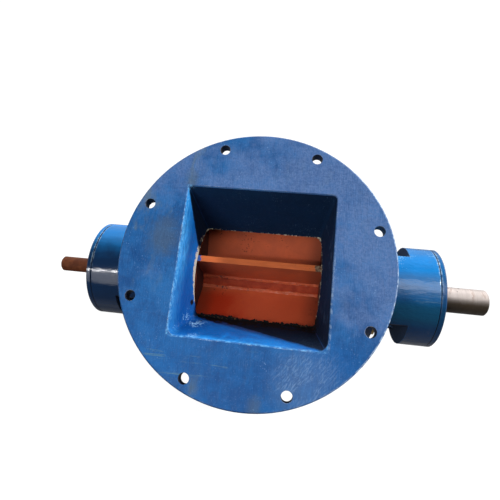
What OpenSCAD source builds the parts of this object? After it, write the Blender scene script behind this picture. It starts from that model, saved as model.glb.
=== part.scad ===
// Rotary airlock valve: a six-vane rotor turns in a cast body between a square inlet
// and a square outlet, carried by ball bearings in outboard brackets on both end covers.
// Millimetres, +Z up. The shaft lies along X with its drive end at +X, and the origin is
// the centre of the outlet flange's face, on which the valve stands.

/* [Body] */
// Height from the outlet flange's face to the inlet flange's face
body_h = 320; // [270:1:400]
// Outside diameter of both flanges
flange_d = 360; // [330:1:450]
// Thickness of both flanges
flange_t = 16; // [12:0.5:24]
// Distance from the bolt circle to the rim of a flange
bolt_edge = 15; // [12:0.5:22]
// Diameter of a flange bolt hole
bolt_hole_d = 14; // [9:0.5:18]
// Number of bolt holes in a flange
bolt_count = 8; // [4:4:16]
// Angle of the first bolt hole, from the drive end
bolt_clock = 19.8; // [0:0.1:45]
// Side of the square mouth at a flange's face
mouth = 200; // [160:1:220]
// Radius of the mouth's corners
mouth_r = 6; // [4:0.5:20]
// Bevel round the lip of the mouth
lip = 1; // [0.5:0.5:4]
// Width of the passage, across the shaft, where it meets the rotor bore
throat_w = 135; // [100:1:145]
// Ledge that covers each end of the rotor beside the passage
throat_ledge = 5.5; // [2:0.5:12]
// Wall of the passages and of the rotor chamber
body_wall = 10; // [7:0.5:14]

/* [Rotor] */
// Diameter over the vane tips
rotor_d = 182; // [155:1:220]
// Length of the vanes
rotor_l = 186; // [150:1:230]
// Thickness of a vane
vane_t = 9; // [5:0.5:11]
// Lean of the first vane from upright, at rest
vane_lean = 9; // [0:0.5:59]
// Leg of the weld along each vane's foot
weld_leg = 3; // [1:0.5:5]

/* [Shaft] */
// Diameter of the drive end
drive_d = 40; // [28:0.5:44]
// Diameter of the idle end
idle_d = 25; // [18:0.5:40]
// Diameter of the bearing journals
journal_d = 45; // [45:0.5:54]
// Step from a journal up to the packed part of the shaft
seal_step = 2.5; // [1.5:0.5:4]
// Step from the packed part up to the core that carries the vanes
core_step = 1; // [1:0.5:6]
// Length of the journals that shows outside the bearing caps
collar = 1; // [0.5:0.5:4]
// Length of both shaft ends outside the bearing caps
shaft_out = 83; // [40:1:120]
// Bevel on the shaft ends
shaft_bevel = 2; // [0.5:0.5:3]

/* [Covers and brackets] */
// Depth of a cover's plug in the rotor bore
plug_l = 22; // [10:0.5:40]
// Radial reach of the end flanges and covers past the rotor bore
disc_reach = 34; // [30:0.5:40]
// Thickness of a cover's disc
disc_t = 22; // [14:0.5:30]
// Thickness of the end flanges of the body
end_flange_t = 16; // [12:0.5:24]
// Distance from the cover bolts to a disc's rim
cover_bolt_edge = 13; // [11:0.5:15]
// Number of bolts in a cover
cover_bolt_count = 8; // [6:1:12]
// Outside diameter of a bearing bracket
housing_d = 153; // [140:1:184]
// Length of the solid stuffing box outside the disc
base_l = 35.5; // [30:0.5:60]
// Length of the two windows that give access to the gland
window_l = 48; // [42:0.5:80]
// Width of the webs above and below the windows
web_w = 102; // [80:1:110]
// Thickness of the webs
web_t = 16; // [10:0.5:18]
// Length of the barrel round the bearing
barrel_l = 39; // [34:0.5:60]
// Thickness of a bearing cap
cap_t = 8; // [8:0.5:14]

/* [Packing and gland] */
// Side of the square packing
packing_s = 10; // [8:0.5:12]
// Number of packing rings in a stuffing box
packing_count = 4; // [2:1:4]
// Thickness of a gland's flange
gland_t = 9; // [6:0.5:14]
// Distance from the packing's outside to a gland stud's axis
stud_reach = 17.5; // [14:0.5:20]

/* [Bearings] */
// Outside diameter of a bearing
bearing_od = 85; // [82:1:102]
// Width of a bearing
bearing_w = 19; // [17:0.5:22]
// Diameter of a ball
ball_d = 12.7; // [10:0.1:13.5]
// Number of balls in a bearing
ball_count = 9; // [7:1:10]
// Radial width of a shaft seal
seal_s = 9; // [6:0.5:10]
// Length of the seal between a bearing and its gland
seal_l = 8; // [5:0.5:9]

/* [Clearances] */
// Gap between the vane tips and the bore, and round a cover's plug
tip_gap = 0.3; // [0.2:0.05:0.6]
// Gap between the rotor's ends and the covers
end_gap = 0.3; // [0.2:0.05:0.6]
// Radial gap of bearing rings, seal seats and registers
fit_gap = 0.03; // [0.01:0.01:0.1]
// Radial gap of the packing and the seals round the turning shaft
rub_gap = 0.2; // [0.15:0.01:0.3]
// Radial gap of a thread in its tapped hole
thread_gap = 0.08; // [0.05:0.01:0.1]
// Thickness of the cover gaskets
gasket_t = 1.5; // [1:0.5:3]

/* [Hidden] */
$fn = 96;
eps = 0.01;
vane_count = 6;
cap_screw_count = 4;

// Heights and radii of the body
axis_z = body_h / 2;
rotor_r = rotor_d / 2;
bore_r = rotor_r + tip_gap;
chamber_r = bore_r + body_wall;
disc_r = bore_r + disc_reach;
bolt_circle_r = flange_d / 2 - bolt_edge;
cover_bolt_r = disc_r - cover_bolt_edge;
throat_l = rotor_l - 2 * throat_ledge;
throat_foot_z = sqrt(bore_r * bore_r - throat_w * throat_w / 4);

// Stations along the shaft, from the middle of the valve outward
x_rotor = rotor_l / 2;
x_plug = x_rotor + end_gap;
x_body = x_rotor + plug_l;
x_disc = x_body + gasket_t;
x_base = x_disc + disc_t;
x_window = x_base + base_l;
x_barrel = x_window + window_l;
x_cap = x_barrel + barrel_l;
x_out = x_cap + cap_t;
x_end = x_out + shaft_out;

// Shaft radii
journal_r = journal_d / 2;
seal_r = journal_r + seal_step;
core_r = seal_r + core_step;
drive_r = drive_d / 2;
idle_r = idle_d / 2;

// Stuffing box and gland
box_r = seal_r + packing_s;
x_packing = x_window - 16 - packing_s * packing_count;
packing_split = 0.2;
x_gland = x_window + 1;
x_nose = x_packing + packing_s * packing_count + packing_split;
gland_bore_r = seal_r + 0.5;
gland_r = box_r + 3.5;
stud_y = box_r + stud_reach;
ear_r = 14;
stud_r = 5;
stud_depth = 24;
nut_t = 8;
nut_af = 16;
stud_out = 3;

// Bearing seat and bearing
housing_r = housing_d / 2;
seal_wall = 3;
cap_seal_l = cap_t - 1;
x_seal_wall = x_barrel + seal_l;
x_bearing = x_seal_wall + seal_wall;
x_clip = x_bearing + bearing_w;
bearing_r = bearing_od / 2;
pitch_r = (journal_r + bearing_r) / 2;
ball_r = ball_d / 2;
groove_r = ball_r + 0.25;
land = 0.4 * ball_d;
cage_r = ball_r + 0.15;
cage_wall = 1.2;
cage_w = ball_d + 2.6;

// Circlip
clip_t = 1.75;
clip_depth = 1.25;
clip_reach = 4;
clip_lug_r = 2.6;
clip_slot = 9;

// Cover bolts and cap screws
bolt_r = 5;
bolt_head_t = 6.4;
bolt_head_af = 16;
bolt_grip = disc_t + gasket_t + end_flange_t - 1;
screw_r = 4;
screw_head_t = 4;
screw_sink = 0.1;
screw_key_af = 5;
screw_key_t = 3;
screw_grip = 28;
cap_screw_r = (bearing_r + housing_r) / 2;
free_hole = 0.5;
seam_bevel = 1;
rim_bevel = 1.5;

// A cylinder along the shaft, from station x over length l
module rod(x, r, l) {
    translate([x, 0, 0]) rotate([0, 90, 0]) cylinder(r = r, h = l);
}

// A ring along the shaft
module ring(x, r_in, r_out, l) {
    difference() {
        rod(x, r_out, l);
        rod(x - 1, r_in, l + 2);
    }
}

// A rod with both rims bevelled
module bevelled_rod(x, r, l, bevel_in, bevel_out) {
    translate([x, 0, 0]) rotate([0, 90, 0]) rotate_extrude()
        polygon([
            [0, 0],
            [r - bevel_in, 0],
            [r, bevel_in],
            [r, l - bevel_out],
            [r - bevel_out, l],
            [0, l]
        ]);
}

// A hexagon that lies across the shaft: a bolt's head, a nut or a key's socket
module hex(x, af, t) {
    translate([x, 0, 0]) rotate([0, 90, 0]) cylinder(r = af / sqrt(3), h = t, $fn = 6);
}

// Copies round the shaft, on a circle of radius r
module round_shaft(count, r, start) {
    for (i = [0 : count - 1])
        rotate([start + i * 360 / count, 0, 0]) translate([0, 0, r]) children();
}

// The drive side as it is, or its mirror image for the idle side
module side(name) {
    if (name == "drive") children();
    else mirror([1, 0, 0]) children();
}

// The cone of a countersunk head, from its foot out to past the cap's face by extra
module sink_cone(extra) {
    t = screw_head_t + extra;
    translate([x_out - screw_sink - screw_head_t, 0, 0]) rotate([0, 90, 0])
        cylinder(r1 = screw_r, r2 = screw_r + t, h = t);
}

module rounded_rect(size, r) {
    offset(r = r, $fn = 32) square([size[0] - 2 * r, size[1] - 2 * r], center = true);
}

// Tapered square column from height z down to the shaft axis. It measures top at z and
// foot where the passage meets the bore.
module tapered_column(z, top, foot, r) {
    drop = z - throat_foot_z;
    scale_x = 1 - (1 - foot[0] / top[0]) * z / drop;
    scale_y = 1 - (1 - foot[1] / top[1]) * z / drop;
    translate([0, 0, z]) mirror([0, 0, 1])
        linear_extrude(height = z, scale = [scale_x, scale_y], slices = 1, segments = 32)
            rounded_rect(top, r);
}

module passage() {
    tapered_column(axis_z, [mouth, mouth], [throat_l, throat_w], mouth_r);
    translate([0, 0, axis_z + eps]) mirror([0, 0, 1])
        linear_extrude(height = 2 * lip, scale = 1 - 4 * lip / (mouth + 2 * lip), slices = 1)
            rounded_rect([mouth + 2 * lip, mouth + 2 * lip], mouth_r + lip);
}

module neck() {
    wide = 2 * body_wall;
    tapered_column(
        axis_z - flange_t / 2,
        [mouth + wide, mouth + wide],
        [throat_l + wide, throat_w + wide],
        mouth_r + body_wall
    );
}

module flange() {
    translate([0, 0, axis_z - flange_t]) rotate_extrude()
        polygon([
            [0, 0],
            [flange_d / 2 - rim_bevel, 0],
            [flange_d / 2, rim_bevel],
            [flange_d / 2, flange_t - rim_bevel],
            [flange_d / 2 - rim_bevel, flange_t],
            [0, flange_t]
        ]);
}

module flange_holes() {
    for (i = [0 : bolt_count - 1])
        rotate([0, 0, bolt_clock + i * 360 / bolt_count])
            translate([bolt_circle_r, 0, axis_z - flange_t - 1])
                cylinder(d = bolt_hole_d, h = flange_t + 2);
}

// Cast body: two round flanges, two tapered passages and the rotor chamber between them
module body() {
    color("royalblue") translate([0, 0, axis_z]) difference() {
        union() {
            rod(-x_body, chamber_r, 2 * x_body);
            for (s = [-1, 1])
                bevelled_rod(
                    s * (x_body - end_flange_t / 2) - end_flange_t / 2,
                    disc_r,
                    end_flange_t,
                    rim_bevel,
                    rim_bevel
                );
            for (s = [0, 1]) mirror([0, 0, s]) {
                neck();
                flange();
            }
        }
        rod(-x_body - 1, bore_r, 2 * x_body + 2);
        for (s = [0, 1]) mirror([0, 0, s]) {
            passage();
            flange_holes();
        }
        for (s = [0, 1]) mirror([s, 0, 0])
            round_shaft(cover_bolt_count, cover_bolt_r, 180 / cover_bolt_count)
                rod(x_body - end_flange_t - eps, bolt_r + thread_gap, end_flange_t + 1);
    }
}

module gasket(name) {
    color("dimgray") translate([0, 0, axis_z]) side(name) difference() {
        ring(x_body, bore_r, disc_r - rim_bevel, gasket_t);
        round_shaft(cover_bolt_count, cover_bolt_r, 180 / cover_bolt_count)
            rod(x_body - 1, bolt_r + free_hole, gasket_t + 2);
    }
}

// End cover in one casting: plug, disc, stuffing box, two webs and the bearing barrel
module cover(name) {
    color("royalblue") translate([0, 0, axis_z]) side(name) difference() {
        union() {
            rod(x_plug, bore_r - tip_gap, x_disc - x_plug + 1);
            bevelled_rod(x_disc, disc_r, disc_t, rim_bevel, rim_bevel);
            translate([x_base - eps, 0, 0]) rotate([0, 90, 0])
                cylinder(r1 = housing_r + 8, r2 = housing_r, h = 8);
            bevelled_rod(x_base - 1, housing_r, x_cap - x_base + 1, 0, seam_bevel);
        }
        // Windows
        rod(x_window, housing_r - web_t, window_l);
        for (s = [-1, 1])
            translate([x_window, s * (web_w / 2 + housing_r) - housing_r, -housing_r - 1])
                cube([window_l, 2 * housing_r, 2 * housing_r + 2]);
        // Shaft hole and stuffing box
        rod(x_plug - 1, gland_bore_r, x_packing - x_plug + 2);
        rod(x_packing, box_r + fit_gap, x_window - x_packing + 1);
        // Bearing seat, its shoulder and the seat of the inner seal
        rod(x_barrel - 1, seal_r + seal_s + fit_gap, seal_l + 1);
        rod(x_seal_wall - 1, seal_r + 3, seal_wall + 2);
        rod(x_bearing, bearing_r + fit_gap, x_cap - x_bearing + 1);
        // Bolt, stud and screw holes
        round_shaft(cover_bolt_count, cover_bolt_r, 180 / cover_bolt_count)
            rod(x_disc - 1, bolt_r + free_hole, disc_t + 2);
        for (s = [-1, 1])
            translate([0, s * stud_y, 0])
                rod(x_window - stud_depth, stud_r + thread_gap, stud_depth + 1);
        round_shaft(cap_screw_count, cap_screw_r, 45)
            rod(x_out - screw_grip, screw_r + thread_gap, screw_grip);
    }
}

module cover_bolts(name) {
    color("slategray") translate([0, 0, axis_z]) side(name)
        round_shaft(cover_bolt_count, cover_bolt_r, 180 / cover_bolt_count) {
            hex(x_base, bolt_head_af, bolt_head_t);
            rod(x_base - bolt_grip, bolt_r, bolt_grip + 1);
        }
}

module packing(name) {
    color("darkkhaki") translate([0, 0, axis_z]) side(name)
        for (i = [0 : packing_count - 1])
            ring(
                x_packing + packing_split / 2 + i * packing_s,
                seal_r + rub_gap,
                box_r,
                packing_s - packing_split
            );
}

// Gland follower: a nose that presses the packing, and a two-eared flange
module gland(name) {
    color("goldenrod") translate([0, 0, axis_z]) side(name) difference() {
        union() {
            rod(x_nose, box_r - 0.2, x_gland - x_nose + 1);
            translate([x_gland, 0, 0]) rotate([0, 90, 0]) linear_extrude(height = gland_t)
                hull() {
                    circle(r = gland_r, $fn = 64);
                    for (s = [-1, 1]) translate([0, s * stud_y]) circle(r = ear_r, $fn = 32);
                }
        }
        rod(x_nose - 1, gland_bore_r, x_gland + gland_t - x_nose + 2);
        for (s = [-1, 1])
            translate([0, s * stud_y, 0]) rod(x_gland - 1, stud_r + free_hole, gland_t + 2);
    }
}

module gland_studs(name) {
    color("gray") translate([0, 0, axis_z]) side(name)
        for (s = [-1, 1])
            translate([0, s * stud_y, 0])
                bevelled_rod(
                    x_window - stud_depth + 0.2,
                    stud_r,
                    x_gland + gland_t + nut_t + stud_out - x_window + stud_depth - 0.2,
                    1,
                    1
                );
}

module gland_nuts(name) {
    color("gray") translate([0, 0, axis_z]) side(name)
        for (s = [-1, 1])
            translate([0, s * stud_y, 0]) difference() {
                hex(x_gland + gland_t, nut_af, nut_t);
                rod(x_gland + gland_t - 1, stud_r + thread_gap, nut_t + 2);
            }
}

// Stepped shaft in one piece, with a circlip groove outside each bearing
module shaft() {
    x_step = x_out + collar;
    color("darkgray") translate([0, 0, axis_z]) rotate([0, 90, 0]) difference() {
        rotate_extrude() polygon([
            [0, -x_end],
            [idle_r - shaft_bevel, -x_end],
            [idle_r, -x_end + shaft_bevel],
            [idle_r, -x_step],
            [journal_r, -x_step],
            [journal_r, -x_bearing],
            [seal_r, -x_bearing],
            [seal_r, -x_rotor],
            [core_r, -x_rotor],
            [core_r, x_rotor],
            [seal_r, x_rotor],
            [seal_r, x_bearing],
            [journal_r, x_bearing],
            [journal_r, x_step],
            [drive_r, x_step],
            [drive_r, x_end - shaft_bevel],
            [drive_r - shaft_bevel, x_end],
            [0, x_end]
        ]);
        for (s = [0, 1]) mirror([0, 0, s]) translate([0, 0, x_clip]) difference() {
            cylinder(r = journal_r + 1, h = clip_t + 0.1);
            translate([0, 0, -1]) cylinder(r = journal_r - clip_depth, h = clip_t + 2);
        }
    }
}

// One vane: a plate welded to the core along both sides of its foot
module vane(i) {
    half = vane_t / 2;
    foot = sqrt(core_r * core_r - half * half);
    color("sienna") translate([0, 0, axis_z])
        rotate([(i - 1) * 360 / vane_count - vane_lean, 0, 0]) difference() {
            intersection() {
                rod(-x_rotor, rotor_r, rotor_l);
                translate([-x_rotor, 0, 0]) rotate([90, 0, 90]) linear_extrude(height = rotor_l)
                    polygon([
                        [-half - weld_leg, 0],
                        [half + weld_leg, 0],
                        [half + weld_leg, foot - 1],
                        [half, foot + weld_leg],
                        [half, rotor_r + 1],
                        [-half, rotor_r + 1],
                        [-half, foot + weld_leg],
                        [-half - weld_leg, foot - 1]
                    ]);
            }
            rod(-x_rotor - 1, core_r, rotor_l + 2);
        }
}

module inner_seal(name) {
    color("black") translate([0, 0, axis_z]) side(name)
        ring(x_barrel, seal_r + rub_gap, seal_r + seal_s, seal_l);
}

module outer_seal(name) {
    color("black") translate([0, 0, axis_z]) side(name)
        ring(x_out - cap_seal_l, journal_r + rub_gap, journal_r + seal_s, cap_seal_l);
}

// The groove that the balls run in
module raceway() {
    translate([x_bearing + bearing_w / 2, 0, 0]) rotate([0, 90, 0]) rotate_extrude()
        translate([pitch_r, 0]) circle(r = groove_r, $fn = 64);
}

module bearing_outer(name) {
    color("silver") translate([0, 0, axis_z]) side(name) difference() {
        ring(x_bearing, pitch_r + land, bearing_r, bearing_w);
        raceway();
    }
}

module bearing_inner(name) {
    color("silver") translate([0, 0, axis_z]) side(name) difference() {
        ring(x_bearing, journal_r + fit_gap, pitch_r - land, bearing_w);
        raceway();
    }
}

module balls(r) {
    round_shaft(ball_count, pitch_r, 0)
        translate([x_bearing + bearing_w / 2, 0, 0]) sphere(r = r);
}

module bearing_cage(name) {
    color("peru") translate([0, 0, axis_z]) side(name) difference() {
        ring(
            x_bearing + (bearing_w - cage_w) / 2,
            pitch_r - cage_wall,
            pitch_r + cage_wall,
            cage_w
        );
        balls(cage_r);
    }
}

module bearing_balls(name) {
    color("gainsboro") translate([0, 0, axis_z]) side(name) balls(ball_r);
}

// Circlip with its slot and two lugs, in the groove against the bearing's inner ring
module circlip(name) {
    r_in = journal_r - clip_depth + fit_gap;
    color("dimgray") translate([0, 0, axis_z]) side(name) difference() {
        union() {
            ring(x_clip + 0.05, r_in, journal_r + clip_reach, clip_t);
            for (s = [-1, 1])
                rotate([s * clip_slot, 0, 0]) translate([0, 0, -journal_r - clip_reach])
                    rod(x_clip + 0.05, clip_lug_r, clip_t);
        }
        translate([x_clip - 1, -1, -journal_r - clip_reach - 5]) cube([clip_t + 2, 2, 12]);
        for (s = [-1, 1])
            rotate([s * clip_slot, 0, 0]) translate([0, 0, -journal_r - clip_reach])
                rod(x_clip - 1, 1, clip_t + 2);
    }
}

// Bearing cap: a plate with a register that holds the outer ring, and a seat for its seal
module cap(name) {
    color("royalblue") translate([0, 0, axis_z]) side(name) difference() {
        union() {
            bevelled_rod(x_cap, housing_r, cap_t, seam_bevel, rim_bevel);
            rod(x_clip, bearing_r, x_cap - x_clip + 1);
        }
        rod(x_clip - 1, pitch_r + land, x_cap - x_clip + 1);
        rod(x_cap - 1, journal_r + 3, cap_t + 2);
        rod(x_out - cap_seal_l, journal_r + seal_s + fit_gap, cap_seal_l + 1);
        round_shaft(cap_screw_count, cap_screw_r, 45) {
            rod(x_cap - 1, screw_r + free_hole, cap_t + 1 - screw_head_t);
            sink_cone(2 * screw_sink);
        }
    }
}

module cap_screws(name) {
    color("slategray") translate([0, 0, axis_z]) side(name)
        round_shaft(cap_screw_count, cap_screw_r, 45) difference() {
            union() {
                sink_cone(0);
                rod(x_out - screw_grip + 1, screw_r, screw_grip - 3);
            }
            hex(x_out - screw_sink - screw_key_t, screw_key_af, screw_key_t + 1);
        }
}

body();
shaft();
for (i = [1 : vane_count]) vane(i);
for (name = ["drive", "idle"]) {
    gasket(name);
    cover(name);
    cover_bolts(name);
    packing(name);
    gland(name);
    gland_studs(name);
    gland_nuts(name);
    inner_seal(name);
    bearing_outer(name);
    bearing_inner(name);
    bearing_cage(name);
    bearing_balls(name);
    circlip(name);
    cap(name);
    outer_seal(name);
    cap_screws(name);
}
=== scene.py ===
"""Finishes a rotary airlock valve round its fixed frame: brushed enamel on the castings, red
primer on the rotor, worn steel on the shaft, weld beads, chamfered fasteners and a studio."""

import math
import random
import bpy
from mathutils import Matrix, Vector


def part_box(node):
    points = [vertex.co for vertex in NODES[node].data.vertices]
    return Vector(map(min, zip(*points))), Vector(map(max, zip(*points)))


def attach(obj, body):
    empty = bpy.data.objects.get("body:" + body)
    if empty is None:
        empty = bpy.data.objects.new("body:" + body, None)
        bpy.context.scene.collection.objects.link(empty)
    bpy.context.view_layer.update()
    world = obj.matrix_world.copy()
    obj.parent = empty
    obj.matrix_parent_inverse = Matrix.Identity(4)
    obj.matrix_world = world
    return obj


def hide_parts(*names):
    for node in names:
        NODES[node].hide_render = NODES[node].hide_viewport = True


bl_info = {
    "name": "Rotary Airlock Valve",
    "version": (1, 0, 0),
    "blender": (4, 5, 0),
    "location": "3D View > Sidebar > Valve",
    "description": "Enamel, primer, worn steel, welds and fasteners for a rotary airlock valve",
    "category": "Object",
}

import bmesh
import bpy
from bpy.props import (
    FloatProperty,
    FloatVectorProperty,
    IntProperty,
    PointerProperty,
)
from mathutils import Matrix, Vector

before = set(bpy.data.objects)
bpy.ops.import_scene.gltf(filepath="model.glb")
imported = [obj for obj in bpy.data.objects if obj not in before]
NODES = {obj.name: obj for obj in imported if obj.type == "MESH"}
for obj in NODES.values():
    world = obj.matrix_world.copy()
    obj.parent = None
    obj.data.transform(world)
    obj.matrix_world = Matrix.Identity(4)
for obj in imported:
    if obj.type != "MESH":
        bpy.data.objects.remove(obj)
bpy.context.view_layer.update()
SIDES = ("drive", "idle")


def both(name):
    return [f"{name}_{side}" for side in SIDES]


# Sizes read from the frame, in metres
BODY_LOW, BODY_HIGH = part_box("body")
SHAFT_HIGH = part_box("shaft")[1]
VANE_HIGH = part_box("vane_1")[1]
AXIS_Z = (BODY_LOW.z + BODY_HIGH.z) / 2
FACE_Z = BODY_HIGH.z
FLANGE_R = BODY_HIGH.y
CORE_R = SHAFT_HIGH.y
ROTOR_X = VANE_HIGH.x
BORE_R = 0.0913
ROTOR_R = 0.091
SEAM_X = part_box("cap_drive")[1].x - 0.008
MOUTH = 0.1
VANE_COUNT = 6
VANE_HALF = 0.0045
VANE_LEAN = math.radians(9)


# ------------------------------------------------------------------ sizes and colours


class EnamelSettings(bpy.types.PropertyGroup):
    blue: FloatVectorProperty(
        name="Blue",
        description="Colour of a full coat of the blue enamel",
        subtype="COLOR",
        default=(0.0050, 0.047, 0.162),
        min=0,
        max=1,
    )
    thin: FloatVectorProperty(
        name="Thin coat",
        description="Colour where the brush left the enamel thin",
        subtype="COLOR",
        default=(0.0110, 0.094, 0.272),
        min=0,
        max=1,
    )
    gloss: FloatVectorProperty(
        name="Fresh blue",
        description="Colour of the newer, glossy coat on covers, brackets and caps",
        subtype="COLOR",
        default=(0.005, 0.185, 0.52),
        min=0,
        max=1,
    )
    # The chalky film's colour also paints the sheen of the lights on the flange
    film: FloatVectorProperty(
        name="Chalk",
        description="Colour of the chalky film on the oldest enamel",
        subtype="COLOR",
        default=(0.082, 0.143, 0.302),
        min=0,
        max=1,
    )
    chip: FloatVectorProperty(
        name="Chips",
        description="Colour of the pale filler that shows at chipped edges",
        subtype="COLOR",
        default=(0.50, 0.55, 0.58),
        min=0,
        max=1,
    )
    flange_roughness: FloatProperty(
        name="Flange roughness",
        description="Roughness of the satin enamel on the flanges",
        subtype="FACTOR",
        default=0.46,
        min=0.05,
        max=1,
    )
    bracket_roughness: FloatProperty(
        name="Bracket roughness",
        description="Roughness of the glossy enamel on covers, brackets and caps",
        subtype="FACTOR",
        default=0.09,
        min=0.05,
        max=1,
    )


class PrimerSettings(bpy.types.PropertyGroup):
    red: FloatVectorProperty(
        name="Red oxide",
        description="Colour of the primer on the rotor",
        subtype="COLOR",
        default=(0.57, 0.105, 0.036),
        min=0,
        max=1,
    )
    tip: FloatVectorProperty(
        name="Tip",
        description="Colour of the worn primer on the vane tips",
        subtype="COLOR",
        default=(0.57, 0.125, 0.030),
        min=0,
        max=1,
    )
    bead_width: FloatProperty(
        name="Weld bead",
        description="Width of the weld beads along the vanes' feet",
        unit="LENGTH",
        default=0.0048,
        min=0.001,
        max=0.008,
    )
    bead_step: FloatProperty(
        name="Weld ripple",
        description="Distance between the ripples of a weld bead",
        unit="LENGTH",
        default=0.0042,
        min=0.001,
        max=0.01,
    )


class SteelSettings(bpy.types.PropertyGroup):
    bare: FloatVectorProperty(
        name="Bare steel",
        description="Colour of turned steel",
        subtype="COLOR",
        default=(0.76, 0.67, 0.63),
        min=0,
        max=1,
    )
    rust: FloatVectorProperty(
        name="Rust",
        description="Colour of old rust on the shaft",
        subtype="COLOR",
        default=(0.082, 0.018, 0.004),
        min=0,
        max=1,
    )
    thread_pitch: FloatProperty(
        name="Thread pitch",
        description="Pitch of the gland studs' thread",
        unit="LENGTH",
        default=0.0015,
        min=0.0005,
        max=0.003,
    )
    head_sides: IntProperty(
        name="Head facets",
        description="Facets round the washer face of a bolt head",
        default=48,
        min=12,
        max=96,
    )


class StudioSettings(bpy.types.PropertyGroup):
    key: FloatProperty(
        name="Key light",
        description="Strength of the low sun from the drive end",
        default=4.4,
        min=0,
        max=20,
    )
    back: FloatProperty(
        name="Back light",
        description="Strength of the low light from behind the valve",
        default=2.3,
        min=0,
        max=20,
    )
    top: FloatProperty(
        name="Top light",
        description="Power of the round soft light overhead",
        unit="POWER",
        default=3.5,
        min=0,
        max=500,
    )
    window: FloatProperty(
        name="Window light",
        description="Power of the broad soft light over the drive end",
        unit="POWER",
        default=7,
        min=0,
        max=500,
    )
    door: FloatProperty(
        name="Door light",
        description="Power of the soft light low over the idle end",
        unit="POWER",
        default=5,
        min=0,
        max=500,
    )
    strip: FloatProperty(
        name="Strip light",
        description="Power of the thin light over the idle end",
        unit="POWER",
        default=9,
        min=0,
        max=500,
    )
    sky: FloatProperty(
        name="Sky",
        description="Strength of the light from low down behind the valve",
        default=0.5,
        min=0,
        max=5,
    )
    lens: FloatProperty(
        name="Focal length",
        description="Focal length of the camera on a 36 mm sensor",
        subtype="DISTANCE_CAMERA",
        default=28.2,
        min=10,
        max=200,
    )


# ------------------------------------------------------------------ node trees


class Wire:
    """A value in a node tree. Arithmetic on it adds Math nodes."""

    def __init__(self, pen, socket):
        self.pen = pen
        self.socket = socket

    def __add__(self, other):
        return self.pen.math("ADD", self, other)

    def __sub__(self, other):
        return self.pen.math("SUBTRACT", self, other)

    def __rsub__(self, other):
        return self.pen.math("SUBTRACT", other, self)

    def __mul__(self, other):
        return self.pen.math("MULTIPLY", self, other)

    def __truediv__(self, other):
        return self.pen.math("DIVIDE", self, other)

    def __rtruediv__(self, other):
        return self.pen.math("DIVIDE", other, self)

    def __abs__(self):
        return self.pen.math("ABSOLUTE", self)


class Pen:
    """Writes into one shader node tree. Most calls add a node and return its output as a wire."""

    def __init__(self, tree):
        self.tree = tree

    def feed(self, sockets, values):
        """Sets or links the inputs that values names."""
        for name, value in values.items():
            socket = sockets[name]
            if isinstance(value, Wire):
                self.tree.links.new(value.socket, socket)
            elif socket.type == "RGBA":
                socket.default_value = (*tuple(value)[:3], 1)
            else:
                socket.default_value = value

    def fill(self, sockets, **values):
        """The same with the inputs as keywords, an underscore for each space."""
        self.feed(sockets, {name.replace("_", " "): value for name, value in values.items()})

    def node(self, kind, values=None, **settings):
        made = self.tree.nodes.new(kind)
        for name, value in settings.items():
            setattr(made, name, value)
        self.feed(made.inputs, values or {})
        return made

    def wires(self, kind, **settings):
        """Adds a node and returns all its outputs by name."""
        return self.named(self.node(kind, **settings))

    def named(self, made):
        return {socket.name: Wire(self, socket) for socket in made.outputs}

    def add(self, kind, values, output=0, **settings):
        return Wire(self, self.node(kind, values, **settings).outputs[output])

    def math(self, operation, a, b=0.0):
        return self.add("ShaderNodeMath", {0: a, 1: b}, operation=operation)

    def larger(self, a, b):
        return self.math("MAXIMUM", a, b)

    def smaller(self, a, b):
        return self.math("MINIMUM", a, b)

    def root(self, value):
        return self.math("SQRT", value)

    def span(self, value, low, high, to_low=0.0, to_high=1.0):
        """Smooth step of value from low to high."""
        values = {"Value": value, "From Min": low, "From Max": high}
        values.update({"To Min": to_low, "To Max": to_high})
        return self.add("ShaderNodeMapRange", values, interpolation_type="SMOOTHSTEP")

    def mix(self, factor, a, b):
        return self.add("ShaderNodeMix", {0: factor, 6: a, 7: b}, 2, data_type="RGBA")

    def coats(self, colour, *layers):
        """Lays each (mask, colour) pair over the ones before it."""
        for mask, over in layers:
            colour = self.mix(mask, colour, over)
        return colour

    def blend(self, factor, a, b):
        return self.add("ShaderNodeMix", {0: factor, 2: a, 3: b}, data_type="FLOAT")

    def noise(self, vector, scale, detail=2.0, roughness=0.5, distortion=0.0):
        values = {"Vector": vector, "Scale": scale, "Detail": detail}
        values.update({"Roughness": roughness, "Distortion": distortion})
        return self.add("ShaderNodeTexNoise", values)

    def stretch(self, vector, scale, offset=(0, 0, 0), turn=(0, 0, 0)):
        values = {"Vector": vector, "Location": offset, "Rotation": turn, "Scale": scale}
        return self.add("ShaderNodeMapping", values)

    def drawn(self, vector, scale, detail, roughness, distortion=0.0, offset=(0, 0, 0)):
        """Noise that is drawn out into strokes. scale gives its grain along X, Y and Z."""
        return self.noise(self.stretch(vector, scale, offset), 1.0, detail, roughness, distortion)

    def split(self, vector):
        made = self.node("ShaderNodeSeparateXYZ", {0: vector})
        return [Wire(self, socket) for socket in made.outputs]

    def place(self):
        return self.wires("ShaderNodeTexCoord")["Object"]

    def facing(self):
        """X, Y and Z of the surface's normal."""
        return self.split(self.wires("ShaderNodeNewGeometry")["Normal"])

    def vector_math(self, operation, values, output=0):
        return self.add("ShaderNodeVectorMath", values, output, operation=operation)

    def distance(self, vector, point):
        return self.vector_math("DISTANCE", {0: vector, 1: point}, "Value")

    def bump(self, height, distance, strength=1.0, normal=None):
        values = {"Height": height, "Distance": distance, "Strength": strength}
        if normal is not None:
            values["Normal"] = normal
        return self.add("ShaderNodeBump", values)

    def use(self, name, **values):
        """Places the shared group of that name and returns its outputs."""
        made = self.node("ShaderNodeGroup", node_tree=effect(name))
        self.fill(made.inputs, **values)
        return self.named(made)

    def mask(self, name, vector, scale, cover):
        return self.use(name, Vector=vector, Scale=scale, Cover=cover)["Mask"]


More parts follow.
